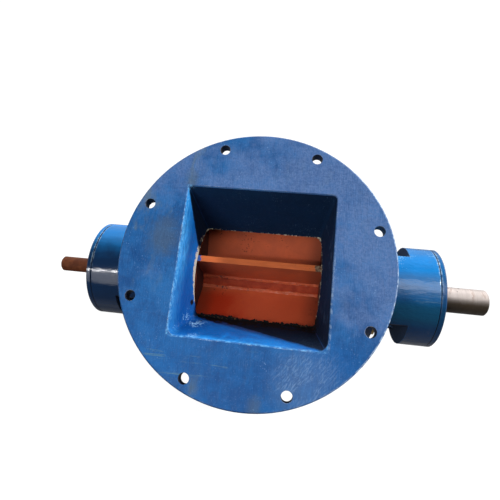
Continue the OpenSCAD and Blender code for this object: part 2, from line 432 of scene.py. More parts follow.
def shader_group(name, values, *outputs):
    """A new node group that takes a vector and the named values. Returns the group, a pen for
    it, its inputs as wires and the sockets of its outputs."""
    tree = bpy.data.node_groups.new(name, "ShaderNodeTree")
    tree.interface.new_socket(name="Vector", in_out="INPUT", socket_type="NodeSocketVector")
    for socket, value in values.items():
        made = tree.interface.new_socket(name=socket, in_out="INPUT", socket_type="NodeSocketFloat")
        made.default_value = value
    for socket in outputs:
        kind = "NodeSocketVector" if socket == "Normal" else "NodeSocketFloat"
        tree.interface.new_socket(name=socket, in_out="OUTPUT", socket_type=kind)
    pen = Pen(tree)
    return tree, pen, pen.wires("NodeGroupInput"), pen.node("NodeGroupOutput").inputs


def brush_marks():
    """Streaks that a brush leaves in enamel: a tone from 0 to 1, hairlines and a height."""
    tree, pen, start, end = shader_group("Brush marks", {"Size": 1.0}, "Tone", "Hairlines", "Height")
    vector = start["Vector"]
    scale = 1.0 / start["Size"]
    streak = pen.noise(pen.stretch(vector, (150, 38, 60)), scale, 3, 0.6, 0.6)
    cross = pen.noise(pen.stretch(vector, (45, 90, 60), (0.2, 0.5, 0.1)), scale, 3, 0.6, 1.2)
    bristle = pen.noise(pen.stretch(vector, (1100, 60, 260), (0.3, 0.1, 0.7)), scale, 2, 0.5, 0.3)
    cloud = pen.noise(vector, scale * 17.0, 4, 0.6)
    patchy = pen.span(pen.noise(vector, 28.0, 3, 0.6), 0.45, 0.65)
    pen.fill(
        end,
        Tone=pen.span(streak * 0.25 + cross * 0.2 + cloud * 0.55, 0.36, 0.64),
        Hairlines=pen.span(bristle, 0.60, 0.74) * patchy,
        Height=streak * 0.35 + cross * 0.35 + bristle * 0.3,
    )
    return tree


def edge_wear():
    """A mask of the sharp outer edges, broken up as chips and rubbed paint are."""
    values = {"Radius": 0.0012, "Amount": 0.5}
    tree, pen, start, end = shader_group("Edge wear", values, "Mask", "Normal")
    soft = pen.add("ShaderNodeBevel", {"Radius": start["Radius"]}, samples=4)
    true = pen.wires("ShaderNodeNewGeometry")["Normal"]
    edge = 1.0 - pen.vector_math("DOT_PRODUCT", {0: soft, 1: true}, "Value")
    broken = pen.noise(start["Vector"], 260.0, 4, 0.7) * pen.noise(start["Vector"], 45.0, 2, 0.5)
    limit = 0.62 - start["Amount"] * 0.5
    chosen = pen.span(broken, limit * 0.5, limit)
    pen.fill(end, Mask=pen.span(edge, 0.01, 0.12) * chosen, Normal=soft)
    return tree


def specks():
    """Small scattered spots, such as rust pinholes or grit in paint."""
    tree, pen, start, end = shader_group("Specks", {"Scale": 200.0, "Cover": 0.3}, "Mask")
    vector = start["Vector"]
    wobble = pen.add("ShaderNodeTexNoise", {"Vector": vector, "Scale": 300.0}, "Color")
    shift = pen.vector_math("SCALE", {0: wobble, "Scale": 0.002})
    bent = pen.vector_math("ADD", {0: vector, 1: shift})
    spot = pen.add("ShaderNodeTexVoronoi", {"Vector": bent, "Scale": start["Scale"]}, "Distance")
    size = pen.span(pen.noise(vector, 22.0, 3, 0.6), 0.42, 0.7) * start["Cover"]
    pen.fill(end, Mask=pen.span(size - spot, 0.0, 0.08))
    return tree


def scratches():
    """Fine slanting brush strokes in patches."""
    tree, pen, start, end = shader_group("Scratches", {"Scale": 60.0, "Cover": 0.5}, "Mask")
    vector = start["Vector"]
    turned = pen.stretch(vector, (1, 1, 1), turn=(0, 0, -0.95))
    strokes = pen.noise(pen.stretch(turned, (0.25, 1.5, 1.0)), start["Scale"], 4, 0.7, 0.6)
    patch = pen.noise(vector, start["Scale"] * 0.12, 3, 0.6)
    low = 0.72 - start["Cover"] * 0.4
    pen.fill(end, Mask=pen.span(strokes, 0.46, 0.64) * pen.span(patch, low, low + 0.15))
    return tree


def dust_cloud():
    """Soft uneven film, such as dust, grease or a rubbed place."""
    tree, pen, start, end = shader_group("Dust", {"Scale": 20.0, "Cover": 0.5}, "Mask")
    cloud = pen.noise(start["Vector"], start["Scale"], 5, 0.62, 0.3)
    low = 0.75 - start["Cover"] * 0.5
    pen.fill(end, Mask=pen.span(cloud, low, low + 0.22))
    return tree


def turning_marks():
    """Fine grooves round the shaft's axis, as a lathe leaves them."""
    tree, pen, start, end = shader_group("Turning marks", {}, "Tone", "Height")
    fine = pen.drawn(start["Vector"], (2200, 14, 14), 2, 0.5)
    broad = pen.drawn(start["Vector"], (420, 30, 30), 3, 0.6)
    pen.fill(end, Tone=fine * 0.4 + broad * 0.6, Height=fine)
    return tree


MAKERS = {
    "brush": brush_marks,
    "edges": edge_wear,
    "specks": specks,
    "dust": dust_cloud,
    "scratches": scratches,
    "turned": turning_marks,
}
GROUPS = {}


def effect(name):
    """The shared shader group of that name, built the first time it is asked for."""
    if name not in GROUPS:
        GROUPS[name] = MAKERS[name]()
    return GROUPS[name]


def material(name, **constants):
    """A new material with a pen for its nodes and the inputs of its Principled BSDF."""
    made = bpy.data.materials.new(name)
    made.use_nodes = True
    bsdf = made.node_tree.nodes["Principled BSDF"]
    pen = Pen(made.node_tree)
    pen.fill(bsdf.inputs, **constants)
    return made, pen, bsdf.inputs


def shade(colour, share):
    return tuple(c * share for c in colour)


def axis_distance(pen, place):
    """Distance of each point from the rotor's axis."""
    y, z = pen.split(place)[1:]
    z = z - AXIS_Z
    return pen.root(y * y + z * z)


def wear(skin, *names):
    """Gives CAD nodes a material in every slot they have."""
    for name in names:
        piece = NODES[name]
        if not piece.material_slots:
            piece.data.materials.append(skin)
        for slot in piece.material_slots:
            slot.material = skin


# ------------------------------------------------------------------ meshes


def ring(mesh, centre, out, sides, point):
    """A loop of vertices round X. point gives, for each angle, the way outwards and the radius."""
    made = []
    for k in range(sides):
        a = 2 * math.pi * k / sides
        along, r = point(a)
        made.append(mesh.verts.new(centre + Vector((out * along, r * math.sin(a), r * math.cos(a)))))
    return made


def join_rings(mesh, rings, capped=True):
    """Makes the faces from each ring to the next, and the two ends."""
    for a, b in zip(rings, rings[1:]):
        for k in range(len(a)):
            j = (k + 1) % len(a)
            mesh.faces.new((a[k], a[j], b[j], b[k]))
    if capped:
        mesh.faces.new(rings[0])
        mesh.faces.new(list(reversed(rings[-1])))


def finish_mesh(work, name, skin, crease=None, smooth=lambda face: True):
    """Turns a bmesh into a mesh with its faces outwards, its sharp edges kept and a material."""
    bmesh.ops.recalc_face_normals(work, faces=work.faces)
    if crease:
        for edge in work.edges:
            if len(edge.link_faces) == 2:
                edge.smooth = edge.calc_face_angle(0) < math.radians(crease)
    for face in work.faces:
        face.smooth = smooth(face)
    mesh = bpy.data.meshes.new(name)
    work.to_mesh(mesh)
    work.free()
    mesh.materials.append(skin)
    return mesh


def new_piece(mesh, body, slot, *replaced):
    """Links a finished mesh, already in place in the frame, and makes it ride on its body."""
    piece = bpy.data.objects.new(mesh.name, mesh)
    bpy.context.scene.collection.objects.link(piece)
    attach(piece, body)
    if replaced:
        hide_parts(*replaced)


# ------------------------------------------------------------------ castings

# Half sizes of the opening where the throat meets the bore, and how far its walls lean
OPENING_X = 0.0870
OPENING_Y = 0.0675
LEAN_X = 0.127
LEAN_Y = 0.33

# The throat's walls start at this Z. Two lines bound its painted shadow, which the mouth's rim casts:
# how the idle wall's falls with depth, and how far idle and how high the front wall's starts, and how
# it climbs
THROAT_FROM = 0.2
IDLE_LINE_FALL = 1.04
FRONT_LINE_X = 0.0875
FRONT_LINE_Z = 0.2225
FRONT_LINE_CLIMB = 0.525

# Older coats on the flange and newer ones in the throat, each from its thick to its thin places
DEEP = (0.0008, 0.050, 0.19), (0.0020, 0.078, 0.265)
FRESH = (0.0006, 0.060, 0.228), (0.0012, 0.106, 0.385)
# Painted light on the throat's walls near the mouth
PAINTED_LIP_LIGHT = (0.011, 0.21, 0.59)
BRISTLE = (0.20, 0.50, 0.80)
PALE = (0.060, 0.36, 0.76)
SUNK = (0.0004, 0.045, 0.215)
FLECKS = (0.30, 0.55, 0.80)
# Painted shade and shadow on the throat's walls, from the back to the darker front
PAINTED_WALL_SHADE = (0.0026, 0.013, 0.036), (0.0018, 0.0045, 0.012)

# What lies on the flange, or shows through the coat, and the light and shade painted on it
RUST_STAIN = (0.085, 0.115, 0.125)
KHAKI = (0.075, 0.105, 0.115)
TEAL_STREAK = (0.080, 0.165, 0.185)
GRIT = (0.17, 0.30, 0.50)
FINE_DUST = (0.15, 0.26, 0.44)
# Rubbed paint and painted highlight along the mouth's lips
RIM_WEAR_AND_HIGHLIGHT = (0.16, 0.46, 0.78)
RUBBED_BARE = (0.46, 0.60, 0.74)
# Brush hairlines, paler towards the drive end where they stand for glints of the sheen
HAIRLINES_AND_GLINT = (0.16, 0.29, 0.46)
# Painted gloss highlight with pale brush strokes in the flange's front corner
PAINTED_GLOSS_PATCH = (0.14, 0.22, 0.36)
PAINTED_GLOSS_STROKES = (0.19, 0.30, 0.47)
FILLER = (0.46, 0.40, 0.30)
# Painted shadow in the gap along the bore's front edge
PAINTED_GAP_SHADOW = (0.006, 0.005, 0.006)
BORE_PRIMER = (0.13, 0.035, 0.018)
DRIP_HOLE = (0.003, 0.004, 0.008)
# Painted shade in the flange holes
PAINTED_HOLE_SHADE = (0.018, 0.014, 0.014)

# Khaki stains on the inlet flange: X, Y, reach and strength
STAINS = (
    (-0.124, 0.026, 0.028, 0.38),
    (-0.096, 0.110, 0.013, 0.38),
    (-0.058, -0.158, 0.011, 0.48),
    (0.020, -0.172, 0.012, 0.34),
)

# Middles of the patch that the film left clean, of the one painted with a gloss highlight, and of the
# drip hole
CLEAN_PATCH = (0.105, -0.125, 0.32)
GLOSS_PATCH_MIDDLE = (0.075, -0.137, 0.32)
DRIP = Vector((-0.0909, -0.0515, 0.2485))

# The bolt holes lie between these two radii
HOLES_FROM = 0.155
HOLES_TO = 0.176


def throat_masks(pen, place):
    """Masks over the throat's walls: all of them, and the parts painted dark as shade and as the
    mouth rim's cast shadow.
    """
    x, y, z = pen.split(place)
    far = pen.larger(abs(x), abs(y))
    inside = pen.span(far, MOUTH + 0.0012, MOUTH) * pen.span(z, THROAT_FROM, THROAT_FROM + 0.005)
    nx, ny, nz = pen.facing()
    upright = pen.span(abs(nz), 0.75, 0.6)
    # Only faces that look towards the valve's middle line, not the throat's outer sides
    wall = inside * upright * pen.span(nx * x + ny * y, 0.0, -0.02)
    torn = pen.noise(place, 90.0, 3, 0.6) * 0.008
    # The idle side's wall is painted with the mouth rim's shadow beyond a line from the mouth's
    # corner down to the bore
    past_shadow_line = y - MOUTH - (z - FACE_Z) * IDLE_LINE_FALL + torn
    idle = pen.span(nx, 0.6, 0.8) * pen.span(past_shadow_line, 0.0005, 0.0050)
    # The front wall is painted with the mouth rim's shadow below a line from the bore's idle corner
    # up to the mouth's drive corner
    below = (x + FRONT_LINE_X) * FRONT_LINE_CLIMB - torn + FRONT_LINE_Z - z
    front = pen.span(ny, 0.6, 0.8) * pen.span(below, -0.004, 0.002)
    # Walls that face the drive end and the back, away from the key light, are painted in shade as
    # well
    painted_shade = pen.larger(pen.span(pen.smaller(nx, ny), -0.3, -0.75), pen.larger(idle, front))
    return wall, wall * painted_shade


def bore_masks(pen, place):
    """Masks near the bore: pale flakes along its edge, a painted shadow along the front edge, where
    the gap below it is in shade, the bore.
    """
    x, y, z = pen.split(place)
    radius = axis_distance(pen, place)
    near = pen.span(abs(x), 0.112, 0.110)
    flake = pen.noise(pen.stretch(place, (1, 1, 0.45)), 150.0, 4, 0.7)
    side = pen.span(y, 0.058, 0.035) * pen.span(y, -0.07, 0.01, 0.25, 1.0)
    side = side * pen.span(x, 0.0, -0.05, 0.12, 1.0)
    torn = pen.blend(side, pen.span(flake, 0.50, 0.68), pen.span(flake, 0.22, 0.52))
    reach = torn * (side * 0.0065 + 0.0038)
    line = pen.span(radius - reach, BORE_R + 0.0006, BORE_R) * pen.span(y, -0.052, -0.046)
    # Only a few flakes hold on high up on the idle side
    sparse = pen.span(x, -0.078, -0.083) * pen.span(y, 0.026, 0.036)
    line = line * pen.blend(sparse, 1.0, pen.span(flake, 0.56, 0.66)) * near
    gap_shadow_reach = pen.span(pen.noise(place, 75.0, 3, 0.6), 0.25, 0.65) * 0.026
    gap_shadow = pen.span(radius - gap_shadow_reach, BORE_R + 0.0050, BORE_R + 0.0010)
    gap_shadow = gap_shadow * pen.span(y, -0.050, -0.060) * near
    bore = pen.span(radius, BORE_R + 0.0003, BORE_R + 0.0001) * near
    # The painted shadow keeps off the barrel's outer side, which faces away from the axis
    nx, ny, nz = pen.facing()
    away = ny * y + nz * (z - AXIS_Z)
    gap_shadow = gap_shadow * pen.span(away / radius, 0.5, 0.3) * pen.span(nx, 0.7, 0.5)
    return line, gap_shadow, bore


def old_coat(pen, place, tone, settings):
    """The flange's satin blue under its chalky film, which also paints the sheen of the lights, with
    deep places at the front.
    """
    x, y = pen.split(place)[:2]
    clean = pen.distance(place, CLEAN_PATCH)
    # The film is thickest towards the back of the drive end, where it also stands for the painted
    # sheen of the lights
    film_and_sheen_lean = x + y * 0.9 - pen.span(y, -0.035, -0.130, 0.0, 0.22)
    film_and_sheen_lean = film_and_sheen_lean - pen.span(clean, 0.075, 0.03, 0.0, 0.2)
    film = pen.span(pen.noise(place, 15.0, 5, 0.62) + film_and_sheen_lean, 0.40, 0.68)
    film = film * pen.span(pen.noise(place, 330.0, 3, 0.7), 0.35, 0.65, 0.65, 1.25)
    deep = pen.larger(pen.span(y, -0.04, -0.13, 0.0, 0.5), pen.span(clean, 0.06, 0.02, 0.0, 0.8))
    return pen.coats(
        pen.mix(tone, settings.blue, settings.thin),
        # Chalky film, partly a painted sheen
        (film * 0.62, settings.film),
        (deep, pen.mix(tone, *DEEP)),
    )


def throat_coat(pen, place, brush):
    """The newer, brighter blue on the throat's walls, with painted light towards the mouth."""
    x, y, z = pen.split(place)
    # Painted light: the walls turn brighter towards the mouth's lip than deeper down
    lip_light = pen.span(z + brush["Tone"] * 0.018, 0.303, 0.334) * pen.span(x, 0.085, -0.01)
    dry = brush["Hairlines"] * pen.span(z, 0.27, 0.31) * pen.span(x, 0.06, 0.0, 0.0, 0.35)
    # The idle wall's last coat is pale and brushed along its top, deeper towards its front corner
    pale = pen.span(x, -0.086, -0.092) * pen.span(y, 0.09, 0.0, 0.25, 1.0)
    strokes = pen.drawn(place, (60, 70, 420), 4, 0.7, 0.4)
    pale = pale * pen.span(strokes, 0.36, 0.68, 0.15, 0.85) * pen.span(z, 0.281, 0.306)
    sunk = pen.span(x, -0.05, -0.08) * pen.span(y, 0.02, -0.05)
    nook = pen.span(x, -0.055, -0.082) * pen.span(y, -0.050, -0.072)
    flecks = pen.mask("specks", place, 330.0, 0.70) * (nook * pen.span(z, 0.24, 0.26))
    return pen.coats(
        pen.mix(brush["Tone"], *FRESH),
        (lip_light, PAINTED_LIP_LIGHT),
        (dry, BRISTLE),
        (pale, PALE),
        (sunk * 0.6, SUNK),
        (flecks * 0.8, FLECKS),
    )


def stained(pen, place, tone, wall, colour):
    """Khaki and teal where rust and dry brushes left their marks, then grit and fine dust."""
    x, y = pen.split(place)[:2]
    stain = pen.mask("dust", pen.stretch(place, (1.6, 0.7, 1)), 30.0, 0.42)
    beside = pen.span(x, -0.02, -0.09) * pen.span(y, -0.08, 0.02)
    stain = stain * pen.blend(beside, 0.10, 0.60) * pen.blend(wall, 1.0, 0.1)
    colour = pen.mix(stain, colour, RUST_STAIN)
    for u, v, reach, strength in STAINS:
        spot = pen.distance(pen.stretch(place, (1, 0.7, 1)), (u, v * 0.7, FACE_Z))
        ragged = spot + tone * (reach * 0.5)
        colour = pen.mix(pen.span(ragged, reach * 1.3, reach * 0.3, 0.0, strength), colour, KHAKI)
    streak = pen.drawn(place, (8, 150, 20), 4, 0.7, 0.8, (0.4, 0.2, 0.0))
    patch = pen.noise(place, 24.0, 3, 0.6)
    streak = pen.span(streak, 0.58, 0.70) * pen.span(patch, 0.46, 0.60) * pen.span(y, -0.10, -0.13)
    fine = pen.span(pen.noise(place, 620.0, 2, 0.6), 0.60, 0.74)
    return pen.coats(
        colour,
        (streak * 0.6, TEAL_STREAK),
        (pen.mask("specks", place, 260.0, 0.24) * (0.32 - wall * 0.32), GRIT),
        (fine * (0.20 - wall * 0.14), FINE_DUST),
    )


def rubbed(pen, place, centre_r, colour):
    """Rubbed paint with a painted highlight along the mouth's idle and front lips, and chipped lines
    along its drive lip and the flange's outer edge.
    """
    x, y, z = pen.split(place)
    # Painted highlight, with rubbed paint, along the sunlit idle and front lips
    rim = pen.larger(abs(x), abs(y)) - MOUTH
    rim = pen.span(abs(rim + 0.0002), 0.0020, 0.0006) * pen.span(pen.smaller(x, y), -0.088, -0.097)
    rim = rim * pen.span(pen.noise(place, 190.0, 4, 0.7), 0.42, 0.66) * pen.span(z, 0.309, 0.312)
    outer = pen.span(centre_r, FLANGE_R - 0.0022, FLANGE_R - 0.0010) * pen.span(x, 0.09, 0.14)
    drive = pen.span(abs(x - (MOUTH + 0.0012)), 0.0022, 0.0006)
    drive = drive * (pen.span(y, 0.06, 0.0, 0.0, 0.4) * pen.span(y, -0.1, -0.09))
    chipped = pen.span(pen.noise(place, 150.0, 4, 0.75), 0.44, 0.58)
    bare = pen.larger(outer, drive) * pen.span(z, 0.3175, 0.3190) * chipped
    return pen.coats(colour, (rim * 0.5, RIM_WEAR_AND_HIGHLIGHT), (bare * 0.6, RUBBED_BARE))


def flange_enamel(settings):
    """Satin enamel of the body, with a machined bore and a chipped line where the two meet."""
    made, pen, out = material("flange_enamel", Specular_IOR_Level=0.13)
    place = pen.place()
    x, y = pen.split(place)[:2]
    brush = pen.use("brush", Vector=place)
    tone = brush["Tone"]
    edge = pen.use("edges", Vector=place, Radius=0.0012, Amount=0.45)
    centre_r = pen.root(x * x + y * y)
    wall, painted_shade = throat_masks(pen, place)
    colour = pen.coats(
        old_coat(pen, place, tone, settings),
        (wall, throat_coat(pen, place, brush)),
        # Painted shade and shadow on the throat's walls, darkest towards the front
        (painted_shade * 0.95, pen.mix(pen.span(y, -0.01, -0.075), *PAINTED_WALL_SHADE)),
    )
    colour = stained(pen, place, tone, wall, colour)
    colour = rubbed(pen, place, centre_r, colour)
    # Dry bristle lines, painted paler towards the drive end as glints of the sheen, and brush
    # strokes, strongest in its front corner, painted pale as a gloss highlight
    corner = pen.span(pen.distance(place, GLOSS_PATCH_MIDDLE), 0.06, 0.01)
    glossy_strokes = pen.mask("scratches", place, 400.0, 0.80) * pen.blend(corner, 0.04, 0.36)
    worn = edge["Mask"] * pen.span(painted_shade, 0.5, 0.0)
    line, gap_shadow, bore = bore_masks(pen, place)
    # One drip hole of bare dirt on the idle wall, and painted shade on the walls of the flange holes
    drop = pen.distance(pen.stretch(place, (1, 1, 0.62)), (DRIP.x, DRIP.y, DRIP.z * 0.62))
    drop = drop + pen.noise(place, 400.0, 2, 0.5) * 0.002
    hole_shade = pen.span(centre_r, HOLES_TO, HOLES_TO - 0.0005)
    hole_shade = hole_shade * pen.span(centre_r, HOLES_FROM, HOLES_FROM + 0.0005)
    hole_shade = hole_shade * pen.span(abs(pen.facing()[2]), 0.5, 0.3)
    colour = pen.coats(
        colour,
        # Brush hairlines, painted paler towards the drive end as glints of the sheen
        (brush["Hairlines"] * pen.span(x, -0.12, 0.14, 0.08, 0.36), HAIRLINES_AND_GLINT),
        # Painted gloss highlight in the front corner, crossed by pale brush strokes
        (corner * 0.20, PAINTED_GLOSS_PATCH),
        (glossy_strokes * (1.0 - wall), PAINTED_GLOSS_STROKES),
        (worn * 0.7, settings.chip),
        (line * 0.85, FILLER),
        # Painted shadow in the gap along the bore's front edge
        (gap_shadow, PAINTED_GAP_SHADOW),
        (bore, BORE_PRIMER),
        (pen.span(drop, 0.0052, 0.0042), DRIP_HOLE),
        # Painted shade on the walls of the flange holes
        (hole_shade * 0.9, PAINTED_HOLE_SHADE),
    )
    rough = tone * 0.10 + (settings.flange_roughness - 0.05) + worn * 0.25
    pen.fill(
        out,
        Base_Color=colour,
        Roughness=pen.larger(rough, painted_shade * 0.88),
        Normal=pen.bump(brush["Height"], 0.0017, 0.8, edge["Normal"]),
    )
    return made


# Radius inside a bracket, X of its inner face and of the plug's face beside the rotor
BRACKET_R = 0.0760
BRACKET_X = 0.2224
PLUG_X = 0.1168

# Coats on the brackets, what lies on them, and the light and shade painted on them
PAINTED_BRACKET_SHADE = (0.004, 0.026, 0.088), (0.002, 0.010, 0.038)
PAINTED_WINDOW_SHADE = (0.003, 0.012, 0.040)
BRACKET_DUST = (0.10, 0.12, 0.14)
PAINTED_REFLECTION_BAND = (0.070, 0.105, 0.165)
RUNS = (0.10, 0.20, 0.30)
PAINTED_TEAL_SHADE = (0.002, 0.075, 0.13)
CAP_COAT = (0.003, 0.030, 0.10)
PAINTED_TOP_LIGHT = (0.003, 0.235, 0.69)
SPARKLE = (0.20, 0.45, 0.70)
SEAM_CHIP_AND_GLINT = (0.34, 0.52, 0.66)
SEAM = (0.003, 0.010, 0.030)
PLUG_PRIMER = (0.075, 0.018, 0.010)


def bracket_enamel(settings):
    """Glossy enamel of the covers, brackets and bearing caps."""
    made, pen, out = material("bracket_enamel", Specular_IOR_Level=0.4)
    place = pen.place()
    x, y, z = pen.split(place)
    front = pen.facing()[1]
    brush = pen.use("brush", Vector=pen.stretch(place, (0.3, 1.2, 1.2)), Size=1.6)
    edge = pen.use("edges", Vector=place, Radius=0.0013, Amount=0.55)
    at_drive = pen.span(x, 0.0, 0.1)
    # Painted shade: the sides that face away from the lights turn darker, most of all on the idle
    # bracket, where the flange's shadow falls
    old = front + brush["Tone"] * 0.15 + pen.span(x, 0.1, -0.1, 0.0, -0.42)
    old = pen.span(old, 0.36, -0.34)
    # Inside the bracket's windows a dark coat paints the shade there, with some grease
    window_shade = pen.span(axis_distance(pen, place), BRACKET_R, BRACKET_R - 0.0005)
    window_shade = window_shade * pen.span(abs(x), BRACKET_X, BRACKET_X - 0.0003)
    film = pen.mask("dust", place, 30.0, 0.3)
    # A painted reflection of the window light as a greyish band on the drive bracket's side, and
    # painted light as the brightest blue on top of the idle one
    reflection_band = pen.span(front, -0.25, 0.0) * pen.span(front, 0.42, 0.2) * at_drive
    runs = pen.span(pen.drawn(place, (26, 300, 300), 4, 0.7, 0.6), 0.52, 0.66)
    low = pen.span(front, -0.42, -0.30) * pen.span(front, -0.02, -0.16)
    low = runs * low * pen.span(x, 0.0, 0.1, 0.2, 1.0)
    # Painted shade: darker teal towards the drive bracket's underside
    underside_teal_shade = pen.span(front, -0.75, -0.5) * pen.span(front, -0.15, -0.35) * at_drive
    lit_top = pen.span(front, 0.35, 0.75) * pen.span(x, 0.0, -0.1)
    # The upper side, where the light falls: chips and seam cracks there are partly painted edge
    # highlights
    upper = pen.span(y + z * 0.2, 0.02, 0.09)
    sparkle = pen.mask("specks", place, 520.0, 0.62) * (at_drive * pen.span(y, 0.0, 0.05))
    seam = abs(abs(x) - SEAM_X)
    # Pale cracks and chips along the seam's upper side, partly a painted highlight on the edge
    seam_chips_and_glint = pen.span(pen.noise(place, 170.0, 4, 0.75), 0.46, 0.60)
    seam_chips_and_glint = seam_chips_and_glint * (pen.span(seam, 0.0032, 0.0010) * upper)
    colour = pen.coats(
        pen.mix(brush["Tone"], shade(settings.gloss, 0.7), settings.gloss),
        # Painted shade on the sides away from the lights
        (old * 0.94, pen.mix(pen.span(x, 0.1, -0.1), *PAINTED_BRACKET_SHADE)),
        # Painted shade inside the windows
        (window_shade * 0.9, PAINTED_WINDOW_SHADE),
        (film * 0.18, BRACKET_DUST),
        # Painted reflection of the window light
        (reflection_band * 0.38, PAINTED_REFLECTION_BAND),
        (low * 0.45, RUNS),
        # Painted shade towards the underside
        (underside_teal_shade * 0.5, PAINTED_TEAL_SHADE),
        (pen.span(x, SEAM_X + 0.0004, SEAM_X + 0.0012) * 0.55, CAP_COAT),
        # Painted light on top of the idle bracket
        (lit_top * 0.8, PAINTED_TOP_LIGHT),
        (edge["Mask"] * upper * 0.7, settings.chip),
        (sparkle * 0.45, SPARKLE),
        (seam_chips_and_glint * 0.75, SEAM_CHIP_AND_GLINT),
        (pen.span(seam, 0.0009, 0.0004), SEAM),
        (pen.span(abs(x), PLUG_X, PLUG_X - 0.0005), PLUG_PRIMER),
    )
    rough = brush["Tone"] * 0.06 + settings.bracket_roughness + film * 0.15
    lumps = pen.noise(pen.stretch(place, (0.5, 1, 1)), 130.0, 3, 0.6)
    height = (brush["Height"] * 0.5 + lumps) * pen.span(x, 0.0, 0.1, 1.0, 3.0)
    pen.fill(
        out,
        Base_Color=colour,
        Roughness=pen.larger(rough, window_shade * 0.9),
        Normal=pen.bump(height, 0.0004, 0.6, edge["Normal"]),
    )
    return made


# How far crumbs and webs stay outside the bore, clear of the vanes
CLEARANCE = 0.0004


def above_bore(rise):
    """Height of the surface that lies this far outside the bore, as a function of Y."""
    return lambda y: AXIS_Z + math.sqrt((BORE_R + rise) ** 2 - y**2)


def crumb(mesh, dice, x, y, size, side_wall):
    """Adds one lump of dried paint to a bmesh, on the throat's wall just above the bore's edge."""
    height = above_bore(CLEARANCE + size)
    z = height(y)
    rise = z - FACE_Z
    if side_wall:
        x = math.copysign(MOUTH + rise * LEAN_X - size * dice.uniform(0.1, 0.6), x)
    else:
        y = math.copysign(MOUTH + rise * LEAN_Y - size * dice.uniform(0.1, 0.9), y)
        z = height(y)
    turn = Matrix.Rotation(dice.uniform(0, 3), 4, Vector((dice.random(), dice.random(), 1)))
    shape = Matrix.Diagonal((1.0, dice.uniform(0.5, 1.0), dice.uniform(0.5, 0.9), 1.0))
    matrix = Matrix.Translation((x, y, z)) @ turn @ shape
    made = bmesh.ops.create_icosphere(mesh, subdivisions=2, radius=size, matrix=matrix)
    centre = Vector((x, y, z))
    for v in made["verts"]:
        v.co = centre + (v.co - centre) * dice.uniform(0.72, 1.0)


def corner_web(mesh, x, y, reach, *heights):
    """Rounds an opening's corner with a thin web. heights give its lower and upper Z at a given Y."""
    steps = 8
    # How far the web reaches back into the walls
    behind = 0.002
    side = math.copysign(1, x)
    turn = math.copysign(1, y)
    rim = []
    for i in range(steps + 1):
        a = math.pi / 2 * i / steps
        rim.append((x - side * reach * (1 - math.cos(a)), y - turn * reach * (1 - math.sin(a))))
    rim.append((x - side * reach, y + turn * behind))
    rim.append((x + side * behind, y + turn * behind))
    rim.append((x + side * behind, y - turn * reach))
    web = [[mesh.verts.new((u, v, height(v))) for u, v in rim] for height in heights]
    for i, corner in enumerate(web[0]):
        mesh.faces.new((web[0][i - 1], corner, web[1][i], web[1][i - 1]))
    for loop in web:
        bmesh.ops.triangulate(mesh, faces=[mesh.faces.new(loop)])


CREAM_CRUMB = (0.035, 0.028, 0.024), (0.55, 0.48, 0.36)
# Near-black crumbs along the front edge stand in for the shadow in the gap
PAINTED_SHADOW_CRUMB = (0.002, 0.002, 0.003), (0.16, 0.070, 0.030)


def crumb_skin():
    """Cream filler round the back of the bore's edge, near-black along its front as painted shadow in
    the gap there.
    """
    made, pen, out = material("crumb_filler", Specular_IOR_Level=0.3)
    place = pen.place()
    y = pen.split(place)[1]
    tone = pen.noise(place, 260.0, 3, 0.7)
    cream = pen.mix(pen.span(tone, 0.40, 0.52), *CREAM_CRUMB)
    gap_shadow_black = pen.mix(pen.span(tone, 0.58, 0.66), *PAINTED_SHADOW_CRUMB)
    # Painted shadow: the crumbs along the front edge turn near-black
    front = pen.span(y + tone * 0.01, -0.045, -0.052)
    rough = pen.larger(pen.span(tone, 0.2, 0.8, 0.45, 0.8), front)
    pen.fill(out, Base_Color=pen.mix(front, cream, gap_shadow_black), Roughness=rough)
    return made


# Runs of crumbs along the opening. Front and back: side in Y, from and to in X, how many, size
# of the largest and the share of it that the smallest has. Drive and idle: side in X and so on
ACROSS_RUNS = (
    (1, 0.020, OPENING_X, 26, 0.0013, 0.4),
    (1, -OPENING_X, -0.070, 8, 0.0014, 0.4),
    (1, -0.07, 0.02, 9, 0.0010, 0.4),
    (-1, -OPENING_X, -0.03, 90, 0.0037, 0.35),
    (-1, -0.03, OPENING_X, 110, 0.0027, 0.35),
)
ALONG_RUNS = (
    (-1, 0.028, 0.066, 12, 0.0013, 0.35),
    (1, -0.030, 0.064, 20, 0.0013, 0.35),
    (1, -0.066, -0.03, 8, 0.0013, 0.35),
)

# Webs in the opening's corners and in the mouth's front ones: side in X, in Y and reach
OPENING_WEBS = ((1, 1, 0.0080), (1, -1, 0.0035), (-1, 1, 0.0050), (-1, -1, 0.0030))
MOUTH_WEBS = ((1, -1, 0.014), (-1, -1, 0.012))


def bore_crumbs():
    """Crumbs and corner webs round the opening between throat and bore."""
    dice = random.Random(11)
    work = bmesh.new()
    for side, low, high, count, size, least in ACROSS_RUNS:
        for _ in range(count):
            x = dice.uniform(low, high)
            crumb(work, dice, x, side * OPENING_Y, dice.uniform(least, 1.0) * size, False)
    for side, turn, reach in OPENING_WEBS:
        heights = above_bore(CLEARANCE), above_bore(0.0018)
        corner_web(work, side * OPENING_X, turn * OPENING_Y, reach, *heights)
    for side, low, high, count, size, least in ALONG_RUNS:
        for _ in range(count):
            y = dice.uniform(low, high)
            crumb(work, dice, side * MOUTH, y, dice.uniform(least, 1.0) * size, True)
    return finish_mesh(work, "bore_crumbs", crumb_skin(), None, lambda face: len(face.verts) == 3)


